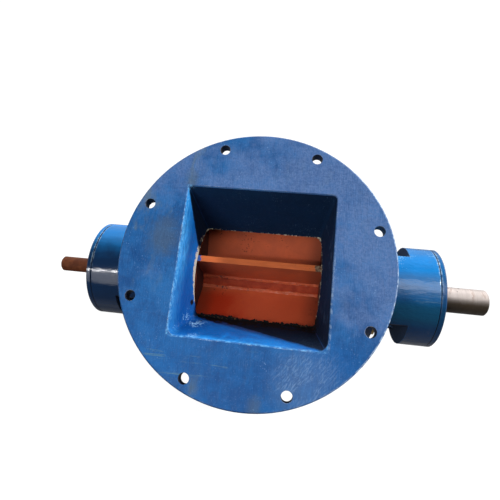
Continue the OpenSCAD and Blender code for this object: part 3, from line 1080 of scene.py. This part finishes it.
def mouth_fillet(enamel):
    """Filler that rounds the mouth's front corners just under the flange's face."""
    work = bmesh.new()
    for side, turn, reach in MOUTH_WEBS:
        heights = (lambda y: FACE_Z - 0.006), (lambda y: FACE_Z - 0.0001)
        corner_web(work, side * MOUTH, turn * MOUTH, reach, *heights)
    return finish_mesh(work, "mouth_fillet", enamel, None, lambda face: False)


class VALVE_OT_paint_castings(bpy.types.Operator):
    """Enamels the body, the covers with their brackets, and the bearing caps"""

    bl_idname = "valve.paint_castings"
    bl_label = "Paint Castings"

    def execute(self, context):
        settings = context.scene.valve_enamel
        new_piece(bore_crumbs(), "housing", "blue_paint")
        enamel = flange_enamel(settings)
        wear(enamel, "body")
        new_piece(mouth_fillet(enamel), "housing", "blue_paint")
        wear(bracket_enamel(settings), *both("cover"), *both("cap"))
        return {"FINISHED"}


# ------------------------------------------------------------------ rotor

# Coats on the vanes, what soils them, and painted shade at their ends
VANE_LOW_RED = (0.47, 0.062, 0.019)
WET_COAT = (0.43, 0.028, 0.008)
PAINTED_END_SHADE = (0.11, 0.026, 0.012)
VANE_SOOT = (0.10, 0.035, 0.02)
WORN_TIP = (0.80, 0.32, 0.16)
VANE_GRIT = (0.04, 0.015, 0.010)
VANE_SMEAR = (0.06, 0.014, 0.008)
BLUE_SMEAR = (0.02, 0.08, 0.30)
SOILED_END = (0.035, 0.022, 0.014), (0.20, 0.17, 0.11)


def primer(settings, name, smeared):
    """Red oxide on a vane: rubbed bright on the tip, darker and gritty towards the foot."""
    made, pen, out = material(name, Specular_IOR_Level=0.3)
    place = pen.place()
    x, y = pen.split(place)[:2]
    mottle = pen.noise(place, 38.0, 5, 0.6, 0.3)
    # The lower faces are a deeper red, wetter low on the idle side, and both ends are painted darker
    # as shade under the throat's walls
    below = pen.span(y + mottle * 0.03, 0.012, -0.022)
    wet = pen.span(x + mottle * 0.08, 0.035, -0.015) * pen.span(y, -0.018, -0.036)
    ends = pen.span(abs(x) + mottle * 0.02, 0.072, 0.100) * 0.55
    tip = pen.span(axis_distance(pen, place), ROTOR_R - 0.0012, ROTOR_R - 0.0006)
    rub = pen.span(pen.drawn(place, (30, 200, 200), 4, 0.6), 0.3, 0.7)
    worn = pen.mask("specks", pen.stretch(place, (0.6, 1, 1)), 320.0, 0.34)
    smear = pen.noise(pen.stretch(place, (1, 1.6, 1.6)), 120.0, 5, 0.75)
    smear = pen.span(smear, 0.60, 0.72) * pen.span(pen.noise(place, 26.0, 2, 0.5), 0.46, 0.62)
    colour = pen.coats(
        pen.mix(pen.span(mottle, 0.3, 0.7), shade(settings.red, 0.8), settings.red),
        (below * 0.75, VANE_LOW_RED),
        (wet * 0.85, WET_COAT),
        # Painted shade towards both ends
        (ends, PAINTED_END_SHADE),
        (pen.mask("dust", place, 18.0, 0.30) * 0.30, VANE_SOOT),
        (tip, pen.mix(rub, settings.tip, shade(settings.tip, 0.8))),
        (worn * tip * 0.6, WORN_TIP),
        (pen.mask("specks", place, 230.0, 0.33) * 0.6, VANE_GRIT),
        (smear * 0.45, VANE_SMEAR),
    )
    if smeared:
        along = x + (pen.noise(place, 160.0, 3, 0.6) - 0.5) * 0.012
        soiled = pen.span(pen.noise(place, 380.0, 3, 0.7), 0.42, 0.60)
        colour = pen.coats(
            colour,
            (pen.span(along, -0.0855, -0.0875) * tip, BLUE_SMEAR),
            (pen.span(along, 0.0815, 0.0835) * tip * 0.9, pen.mix(soiled, *SOILED_END)),
        )
    pen.fill(
        out,
        Base_Color=colour,
        Roughness=pen.blend(wet, pen.span(mottle, 0.2, 0.8, 0.62, 0.78), 0.30),
        Normal=pen.bump(pen.noise(place, 420.0, 3, 0.6) + mottle * 1.5, 0.0006, 0.5),
    )
    return made


# Coats and rust on the shaft, and painted shade on its underside
CORE_COAT = (0.24, 0.025, 0.007), (0.39, 0.050, 0.015)
RUST_BLOOM = (0.21, 0.105, 0.060)
RUST_SPOT = (0.10, 0.04, 0.03)
PAINTED_UNDERSIDE_SHADE = (0.022, 0.013, 0.004)
OLD_RUST = (0.155, 0.042, 0.012)
ENAMEL_SMEAR = (0.02, 0.12, 0.42)


def shaft_skin(steel):
    """One skin for the stepped shaft: primer on the core, turned steel on the drive end and
    heavy rust on the idle end."""
    made, pen, out = material("shaft_skin", Specular_IOR_Level=0.25)
    place = pen.place()
    x, y = pen.split(place)[:2]
    turned = pen.use("turned", Vector=place)
    core = pen.span(abs(x), ROTOR_X + 0.0003, ROTOR_X)
    mottle = pen.noise(place, 60.0, 5, 0.65)
    bloom = pen.mask("dust", pen.stretch(place, (2.2, 1, 1)), 34.0, 0.5)
    # Painted shade darkens the shaft's underside and takes the shine off it
    under = pen.span(y + mottle * 0.004, 0.0155, -0.007)
    bare = pen.coats(
        pen.mix(pen.span(turned["Tone"], 0.3, 0.7), shade(steel.bare, 0.84), steel.bare),
        (bloom * 0.75, RUST_BLOOM),
        (pen.mask("specks", place, 150.0, 0.35) * 0.8, RUST_SPOT),
        # Painted shade on the underside
        (under * 0.97, PAINTED_UNDERSIDE_SHADE),
    )
    rusty = pen.span(x, -0.18, -0.2)
    # A smear of enamel next to the drive end's cap
    reach = (pen.drawn(place, (90, 60, 60), 3, 0.6) - 0.45) * 0.03 + 0.2715
    smear = pen.span(x - reach, 0.0006, -0.0006) * pen.span(x, 0.2685, 0.269)
    colour = pen.coats(
        bare,
        (rusty, pen.mix(pen.span(mottle, 0.35, 0.7), steel.rust, OLD_RUST)),
        (smear * 0.9, ENAMEL_SMEAR),
        (core, pen.mix(pen.span(mottle, 0.3, 0.7), *CORE_COAT)),
    )
    metallic = 1.0 - pen.larger(core, pen.larger(rusty, smear))
    metallic = metallic * (1.0 - pen.larger(bloom * 0.7, under)) * 0.6
    rough = turned["Tone"] * 0.14 + 0.30 + bloom * 0.20
    pen.fill(
        out,
        Base_Color=colour,
        Metallic=metallic,
        Roughness=pen.blend(pen.larger(core, rusty), rough, 0.72),
        Normal=pen.bump(turned["Height"] * 0.5 + mottle, 0.0004, 0.4),
    )
    return made


def weld_bead(mesh, foot_r, tilt, side, settings, dice):
    """Adds one rippled bead to a bmesh, in the corner between the core and a vane's side."""
    steps = int(2 * ROTOR_X / (settings.bead_step / 5))
    points = 9
    lift = 0.0013
    end_gap = 0.0004
    radial = Vector((0, math.sin(tilt), math.cos(tilt)))
    across = Vector((0, math.cos(tilt), -math.sin(tilt))) * side
    corner = Vector((0, 0, AXIS_Z)) + radial * foot_r + across * VANE_HALF
    inward = (radial + across).normalized()
    cross = (radial - across).normalized()
    rings = []
    drift = dice.uniform(0, 6)
    for i in range(steps + 1):
        x = -ROTOR_X + end_gap + (2 * ROTOR_X - 2 * end_gap) * i / steps
        phase = (x / settings.bead_step + 0.35 * math.sin(x * 70 + drift)) % 1
        ripple = 1 - 0.42 * phase
        wander = 1 + 0.16 * math.sin(x * 130 + drift) + 0.12 * math.sin(x * 410 + 2 * drift)
        half = settings.bead_width * 0.62 * wander
        rise = settings.bead_width * 0.36 * wander * ripple
        loop = []
        for k in range(points):
            a = math.pi * k / (points - 1)
            offset = cross * (math.cos(a) * half) + inward * (lift + math.sin(a) * rise)
            back = math.sin(a) * settings.bead_step * 0.4
            loop.append(mesh.verts.new(corner + offset + Vector((x - back * 0.5, 0, 0))))
        rings.append(loop)
    join_rings(mesh, rings)


RUBBED_BEAD = (0.62, 0.24, 0.17)
BEAD_GRIT = (0.05, 0.02, 0.015)


def bead_skin(settings):
    """Primer on the weld beads, rubbed along their crests and gritty between."""
    made, pen, out = material("weld_primer", Specular_IOR_Level=0.35)
    place = pen.place()
    mottle = pen.noise(place, 90.0, 4, 0.6)
    crests = pen.span(pen.noise(pen.stretch(place, (0.6, 1, 1)), 210.0, 4, 0.7), 0.50, 0.62)
    crests = crests * pen.span(pen.noise(place, 34.0, 3, 0.6), 0.42, 0.62, 0.15, 1.0)
    crests = crests * pen.span(pen.split(place)[0], -0.085, 0.0, 0.15, 1.0)
    colour = pen.coats(
        pen.mix(pen.span(mottle, 0.3, 0.7), shade(settings.red, 0.75), settings.red),
        (crests * 0.55, RUBBED_BEAD),
        (pen.mask("specks", place, 260.0, 0.55) * 0.8, BEAD_GRIT),
    )
    pen.fill(
        out,
        Base_Color=colour,
        Roughness=pen.span(mottle, 0.2, 0.8, 0.5, 0.75),
        Normal=pen.bump(pen.noise(place, 700.0, 3, 0.6), 0.0003, 0.5),
    )
    return made


class VALVE_OT_finish_rotor(bpy.types.Operator):
    """Primes the vanes, skins the shaft and lays the weld beads along the vanes' feet"""

    bl_idname = "valve.finish_rotor"
    bl_label = "Finish Rotor"

    def execute(self, context):
        settings = context.scene.valve_primer
        plain = primer(settings, "vane_primer", False)
        wear(plain, *[f"vane_{i}" for i in range(2, VANE_COUNT + 1)])
        wear(primer(settings, "vane_primer_smeared", True), "vane_1")
        wear(shaft_skin(context.scene.valve_steel), "shaft")
        beads = bmesh.new()
        dice = random.Random(4)
        foot_r = math.sqrt(CORE_R**2 - VANE_HALF**2)
        for i in range(VANE_COUNT):
            tilt = VANE_LEAN - i * 2 * math.pi / VANE_COUNT
            for side in (-1, 1):
                weld_bead(beads, foot_r, tilt, side, settings, dice)
        new_piece(finish_mesh(beads, "weld_beads", bead_skin(settings)), "rotor", "red_oxide")
        return {"FINISHED"}


# ------------------------------------------------------------------ fasteners

# M10 bolts, studs and nuts
HEX_ACROSS = 0.016
HEAD_HEIGHT = 0.0064
SHANK_R = 0.005
NUT_BORE = 0.00508
CORNER_SLOPE = math.tan(math.radians(30))
WASHER_FACE = 0.0004
END_CHAMFER = 0.001
THREAD_FROM = 0.023
THREAD_DEPTH = 0.0007
THREAD_STEPS = 6
TURNED_SIDES = 32
STUD_SIDES = 24

# Rust on steel, then darkest and brightest of the gland's brass and of the packing's strands
STEEL_BLOOM = (0.17, 0.075, 0.035)
BRASS = (0.34, 0.22, 0.09), (0.58, 0.42, 0.19)
STRANDS = (0.04, 0.035, 0.025), (0.24, 0.21, 0.15)


def steel_skin(name, colour, roughness, rust=0.3):
    """Bare or blackened steel with a bloom of rust."""
    made, pen, out = material(name, Metallic=1.0)
    place = pen.place()
    tone = pen.noise(place, 120.0, 4, 0.6)
    edge = pen.use("edges", Vector=place, Radius=0.0005, Amount=0.5)
    colour = pen.mix(pen.span(tone, 0.3, 0.7), shade(colour, 0.72), colour)
    bloom = pen.mask("dust", place, 60.0, rust)
    pen.fill(
        out,
        Base_Color=pen.mix(bloom * 0.7, colour, STEEL_BLOOM),
        Roughness=tone * 0.2 + roughness,
        Normal=pen.bump(pen.noise(place, 900.0, 2, 0.5), 0.0001, 0.4, edge["Normal"]),
    )
    return made


def hexagon_mesh(mesh, centre, out, thick, bore, sides):
    """Adds a bolt's head, or a nut if it has a bore, with chamfered corners. out is +1 or -1."""
    face_r = HEX_ACROSS / 2 * 0.95

    def flat(x, r):
        return ring(mesh, centre, out, sides, lambda a: (x, r))

    def six_sided(x_of):
        def point(a):
            r = HEX_ACROSS / 2 / math.cos(a % (math.pi / 3) - math.pi / 6)
            return x_of((r - face_r) * CORNER_SLOPE), r

        return ring(mesh, centre, out, sides, point)

    rings = [flat(thick, bore)] if bore else []
    rings += [flat(thick, face_r), six_sided(lambda drop: thick - drop)]
    if bore:
        rings += [six_sided(lambda drop: drop), flat(0.0, face_r), flat(0.0, bore), rings[0]]
    else:
        rings += [six_sided(lambda drop: WASHER_FACE), flat(WASHER_FACE, face_r), flat(0.0, face_r)]
    join_rings(mesh, rings, capped=not bore)


def shank_mesh(mesh, centre, out, head, length):
    """Adds the shank of a bolt to a bmesh, from its chamfered point up to the head."""
    low = head - length
    profile = ((low, SHANK_R - END_CHAMFER), (low + END_CHAMFER, SHANK_R), (0.0, SHANK_R))
    join_rings(mesh, [ring(mesh, centre, out, TURNED_SIDES, lambda a: pair) for pair in profile])


def thread_mesh(mesh, centre, out, length, pitch):
    """Adds a stud to a bmesh. Its outer part carries a helical thread."""
    end = length - END_CHAMFER
    rows = int((end - THREAD_FROM) / pitch * THREAD_STEPS)
    rings = []

    def turn(along, radius_of):
        rings.append(ring(mesh, centre, out, STUD_SIDES, lambda a: (along, radius_of(a))))

    turn(0.0, lambda a: SHANK_R - END_CHAMFER)
    turn(END_CHAMFER, lambda a: SHANK_R)
    turn(THREAD_FROM - 0.0002, lambda a: SHANK_R)
    for i in range(rows + 1):
        along = THREAD_FROM + (end - THREAD_FROM) * i / rows
        fade = min(1, (end - along) / pitch, (along - THREAD_FROM) / pitch + 0.2)

        def wave(a, along=along, fade=fade):
            phase = (along / pitch - a / (2 * math.pi)) % 1
            return SHANK_R - THREAD_DEPTH * fade * (1 - abs(2 * phase - 1))

        turn(along, wave)
    turn(length, lambda a: SHANK_R - END_CHAMFER)
    join_rings(mesh, rings)


def solids_of(node):
    """Boxes of a CAD node's separate solids, as (low, high) corners."""
    mesh = NODES[node].data
    parent = list(range(len(mesh.vertices)))

    def root(i):
        while parent[i] != i:
            parent[i] = parent[parent[i]]
            i = parent[i]
        return i

    seen = {}
    for v in mesh.vertices:
        key = tuple(round(c * 1e6) for c in v.co)
        parent[root(v.index)] = root(seen.setdefault(key, v.index))
    for e in mesh.edges:
        parent[root(e.vertices[0])] = root(e.vertices[1])
    found = {}
    for v in mesh.vertices:
        low, high = found.setdefault(root(v.index), (Vector(v.co), Vector(v.co)))
        for i in range(3):
            low[i] = min(low[i], v.co[i])
            high[i] = max(high[i], v.co[i])
    return sorted(found.values(), key=lambda c: (round(c[0].y, 5), round(c[0].z, 5)))


class VALVE_OT_fit_cover_bolts(bpy.types.Operator):
    """Puts chamfered hexagon bolts with a washer face in both end covers"""

    bl_idname = "valve.fit_cover_bolts"
    bl_label = "Fit Cover Bolts"

    def execute(self, context):
        sides = context.scene.valve_steel.head_sides // 6 * 6
        skin = steel_skin("bolt_steel", (0.42, 0.43, 0.46), 0.32)
        for side, out in zip(SIDES, (1, -1)):
            work = bmesh.new()
            for low, high in solids_of(f"cover_bolts_{side}"):
                centre = (low + high) / 2
                top = high.x if out > 0 else -low.x
                centre.x = out * (top - HEAD_HEIGHT)
                hexagon_mesh(work, centre, out, HEAD_HEIGHT, 0, sides)
                shank_mesh(work, centre, out, HEAD_HEIGHT, high.x - low.x)
            mesh = finish_mesh(work, f"hex_bolts_{side}", skin, 35)
            new_piece(mesh, "housing", "fastener_steel", f"cover_bolts_{side}")
        return {"FINISHED"}


class VALVE_OT_fit_gland(bpy.types.Operator):
    """Threads the gland studs, chamfers their nuts and gives the gland a machined finish"""

    bl_idname = "valve.fit_gland"
    bl_label = "Fit Gland Hardware"

    def execute(self, context):
        steel = context.scene.valve_steel
        skin = steel_skin("stud_steel", (0.40, 0.40, 0.42), 0.36, 0.4)
        sides = steel.head_sides // 6 * 6
        for side, out in zip(SIDES, (1, -1)):
            nuts = bmesh.new()
            for centre, length in self.stands(f"gland_nuts_{side}", out):
                hexagon_mesh(nuts, centre, out, length, NUT_BORE, sides)
            mesh = finish_mesh(nuts, f"hex_nuts_{side}", skin, 35)
            new_piece(mesh, "housing", "fastener_steel", f"gland_nuts_{side}")
            studs = bmesh.new()
            for centre, length in self.stands(f"gland_studs_{side}", out):
                thread_mesh(studs, centre, out, length, steel.thread_pitch)
            mesh = finish_mesh(studs, f"threaded_studs_{side}", skin, 60)
            new_piece(mesh, "housing", "fastener_steel", f"gland_studs_{side}")
        wear(self.brass(), *both("gland"))
        return {"FINISHED"}

    @staticmethod
    def stands(node, out):
        """Where each solid of a node starts on its axis, and how long it is."""
        for low, high in solids_of(node):
            centre = (low + high) / 2
            centre.x = low.x if out > 0 else high.x
            yield centre, high.x - low.x

    @staticmethod
    def brass():
        made, pen, out = material("gland_brass", Metallic=1.0)
        place = pen.place()
        tone = pen.noise(place, 90.0, 4, 0.6)
        edge = pen.use("edges", Vector=place, Radius=0.0006, Amount=0.5)
        pen.fill(
            out,
            Base_Color=pen.mix(tone, *BRASS),
            Roughness=tone * 0.25 + 0.28,
            Normal=pen.bump(pen.noise(place, 500.0, 3, 0.6), 0.0002, 0.5, edge["Normal"]),
        )
        return made


class VALVE_OT_finish_small_parts(bpy.types.Operator):
    """Gives the cap screws, bearings, circlips, seals, gaskets and packing their finishes"""

    bl_idname = "valve.finish_small_parts"
    bl_label = "Finish Small Parts"

    def execute(self, context):
        wear(steel_skin("screw_steel", (0.16, 0.16, 0.17), 0.38, 0.2), *both("cap_screws"))
        wear(steel_skin("clip_steel", (0.10, 0.10, 0.11), 0.42, 0.2), *both("circlip"))
        ground = steel_skin("bearing_steel", (0.62, 0.63, 0.65), 0.14, 0.0)
        wear(ground, *both("bearing_outer"), *both("bearing_inner"), *both("bearing_balls"))
        wear(steel_skin("cage_brass", (0.60, 0.44, 0.20), 0.30, 0.0), *both("bearing_cage"))
        rubber = self.matt("seal_rubber", (0.016, 0.016, 0.017), 0.55, 400.0)
        wear(rubber, *both("inner_seal"), *both("outer_seal"))
        wear(self.matt("gasket_sheet", (0.07, 0.072, 0.075), 0.8, 900.0), *both("gasket"))
        wear(self.braid(), *both("packing"))
        return {"FINISHED"}

    @staticmethod
    def matt(name, colour, roughness, grain):
        """A dull grained finish, for rubber and sheet."""
        made, pen, out = material(name)
        tone = pen.noise(pen.place(), grain, 3, 0.6)
        pen.fill(
            out,
            Base_Color=pen.mix(tone, shade(colour, 0.7), shade(colour, 1.3)),
            Roughness=tone * 0.2 + (roughness - 0.1),
            Normal=pen.bump(tone, 0.0003, 0.4),
        )
        return made

    @staticmethod
    def braid():
        """Greased braid: strands that cross round the ring."""
        made, pen, out = material("packing_braid")
        x, y, z = pen.split(pen.place())
        along = x * 900.0
        round_ring = pen.math("ARCTAN2", y, z - AXIS_Z) * 34.0
        one = pen.math("SINE", along + round_ring)
        two = pen.math("SINE", along - round_ring)
        weave = pen.span(one * two, -0.8, 0.8)
        pen.fill(
            out,
            Base_Color=pen.mix(weave, *STRANDS),
            Roughness=pen.span(weave, 0.0, 1.0, 0.5, 0.75),
            Normal=pen.bump(weave, 0.0005, 0.6),
        )
        return made


# ------------------------------------------------------------------ studio

LAMP_DISTANCE = 1.6
SUN_DISTANCE = 3.0

# Broad and thin lights: setting, direction, length and width
PANELS = (
    ("window", (0.29, 0.28, 0.92), 0.9, 0.7),
    ("door", (-0.44, -0.50, 0.73), 0.8, 0.75),
    ("strip", (-0.44, -0.27, 0.86), 0.8, 0.024),
)
CAMERA_PLACE = (
    (0.98984312, -0.08550663, 0.11357472, 0.050803),
    (0.10853004, 0.97051943, -0.21520518, -0.091198),
    (-0.091825, 0.22534564, 0.96994202, 0.809787),
    (0, 0, 0, 1),
)


class VALVE_OT_light_stage(bpy.types.Operator):
    """Makes the pale floor, the lights and the camera above the inlet"""

    bl_idname = "valve.light_stage"
    bl_label = "Light Stage"

    def execute(self, context):
        settings = context.scene.valve_studio
        scene = context.scene
        scene.view_settings.view_transform = "Standard"
        self.floor()
        self.sky(scene, settings.sky)
        key = self.light("key_light", "SUN", settings.key, (0.84, 0.40, 0.375), SUN_DISTANCE)
        key.data.angle = math.radians(2.5)
        back = self.light("back_light", "SUN", settings.back, (-0.15, 0.97, 0.18), SUN_DISTANCE)
        back.data.angle = math.radians(25)
        top = self.light("top_light", "AREA", settings.top, (0.02, -0.05, 1.0), LAMP_DISTANCE)
        top.data.shape = "DISK"
        top.data.size = 0.7
        for name, direction, length, width in PANELS:
            self.panel(f"{name}_light", getattr(settings, name), direction, length, width)
        camera = bpy.data.objects.new("camera", bpy.data.cameras.new("camera"))
        scene.collection.objects.link(camera)
        camera.data.sensor_width = 36
        camera.data.lens = settings.lens
        camera.data.clip_start = 0.02
        camera.matrix_world = Matrix(CAMERA_PLACE)
        scene.camera = camera
        return {"FINISHED"}

    def panel(self, name, power, direction, length, width):
        """A rectangular light that lies along X."""
        made = self.light(name, "AREA", power, direction, LAMP_DISTANCE)
        made.data.shape = "RECTANGLE"
        made.data.size = length
        made.data.size_y = width
        back = Vector(direction).normalized()
        side = Vector((0, 1, 0)).cross(back).normalized()
        turned = Matrix((side, back.cross(side), back)).transposed()
        made.rotation_euler = turned.to_euler()

    @staticmethod
    def light(name, kind, power, direction, distance):
        """A light that looks at the inlet from the given direction."""
        data = bpy.data.lights.new(name, kind)
        data.energy = power
        made = bpy.data.objects.new(name, data)
        bpy.context.scene.collection.objects.link(made)
        direction = Vector(direction).normalized()
        made.location = Vector((0, 0, FACE_Z)) + direction * distance
        made.rotation_euler = direction.to_track_quat("Z", "Y").to_euler()
        return made

    @staticmethod
    def floor():
        """Pale paper that shows white, and takes the valve's shadow."""
        half = 8.0
        mesh = bpy.data.meshes.new("floor")
        corners = [(-half, -half, 0), (half, -half, 0), (half, half, 0), (-half, half, 0)]
        mesh.from_pydata(corners, [], [(0, 1, 2, 3)])
        floor = bpy.data.objects.new("floor", mesh)
        bpy.context.scene.collection.objects.link(floor)
        floor.location.z = -0.0005
        paper = bpy.data.materials.new("studio_paper")
        paper.use_nodes = True
        paper.node_tree.nodes.clear()
        pen = Pen(paper.node_tree)
        path = pen.wires("ShaderNodeLightPath")
        seen = pen.larger(path["Is Camera Ray"], path["Is Transmission Ray"])
        behind = pen.span(pen.split(pen.place())[1], 0.10, 0.45, 0.04, 0.5)
        seen = pen.larger(seen, path["Is Glossy Ray"] * behind)
        grain = pen.noise(pen.place(), 30.0, 3, 0.5)
        tone = pen.mix(grain, (0.17, 0.17, 0.17), (0.19, 0.19, 0.19))
        plain = pen.add("ShaderNodeBsdfDiffuse", {"Color": tone})
        glow = pen.add("ShaderNodeEmission", {"Color": (1, 1, 1), "Strength": 0.90})
        lit = pen.add("ShaderNodeAddShader", {0: plain, 1: glow})
        chosen = pen.add("ShaderNodeMixShader", {0: seen, 1: plain, 2: lit})
        pen.node("ShaderNodeOutputMaterial", {0: chosen})
        mesh.materials.append(paper)

    @staticmethod
    def sky(scene, strength):
        """White to the camera. To the valve it is a soft glow from low down behind."""
        world = bpy.data.worlds.new("studio_sky")
        scene.world = world
        world.use_nodes = True
        pen = Pen(world.node_tree)
        path = pen.wires("ShaderNodeLightPath")
        y, height = pen.split(pen.wires("ShaderNodeTexCoord")["Generated"])[1:]
        seen = pen.larger(path["Is Camera Ray"], path["Is Transmission Ray"])
        seen = pen.larger(seen, path["Is Glossy Ray"] * 0.13)
        glow = pen.span(y, 0.0, 0.9, strength * 0.05, strength)
        glow = glow * pen.span(height, 0.25, 0.65, 1.0, 0.06)
        sky = world.node_tree.nodes["Background"].inputs
        pen.fill(sky, Color=(1, 1, 1), Strength=pen.blend(seen, glow, 1.0))


# ------------------------------------------------------------------ panel and registration


class VALVE_PT_sidebar(bpy.types.Panel):
    """Lists the sizes, colours and steps of the valve"""

    bl_idname = "VALVE_PT_sidebar"
    bl_label = "Rotary Airlock Valve"
    bl_space_type = "VIEW_3D"
    bl_region_type = "UI"
    bl_category = "Valve"

    def draw(self, context):
        for title, group, steps in SECTIONS:
            box = self.layout.box()
            box.label(text=title)
            settings = getattr(context.scene, group)
            for name in settings.bl_rna.properties.keys():
                if name not in ("rna_type", "name"):
                    box.prop(settings, name)
            for step in steps:
                box.operator(step.bl_idname)


SECTIONS = (
    ("Enamel", "valve_enamel", (VALVE_OT_paint_castings,)),
    ("Primer and welds", "valve_primer", (VALVE_OT_finish_rotor,)),
    (
        "Steel",
        "valve_steel",
        (VALVE_OT_fit_cover_bolts, VALVE_OT_fit_gland, VALVE_OT_finish_small_parts),
    ),
    ("Studio", "valve_studio", (VALVE_OT_light_stage,)),
)
SETTINGS = {
    "valve_enamel": EnamelSettings,
    "valve_primer": PrimerSettings,
    "valve_steel": SteelSettings,
    "valve_studio": StudioSettings,
}
CLASSES = (
    *SETTINGS.values(),
    VALVE_OT_paint_castings,
    VALVE_OT_finish_rotor,
    VALVE_OT_fit_cover_bolts,
    VALVE_OT_fit_gland,
    VALVE_OT_finish_small_parts,
    VALVE_OT_light_stage,
    VALVE_PT_sidebar,
)


def register():
    for made in CLASSES:
        bpy.utils.register_class(made)
    for name, group in SETTINGS.items():
        setattr(bpy.types.Scene, name, PointerProperty(type=group))


def unregister():
    for name in SETTINGS:
        delattr(bpy.types.Scene, name)
    for made in reversed(CLASSES):
        bpy.utils.unregister_class(made)


def main():
    register()
    bpy.ops.valve.light_stage()
    bpy.ops.valve.paint_castings()
    bpy.ops.valve.finish_rotor()
    bpy.ops.valve.fit_cover_bolts()
    bpy.ops.valve.fit_gland()
    bpy.ops.valve.finish_small_parts()


if __name__ == "__main__":
    main()
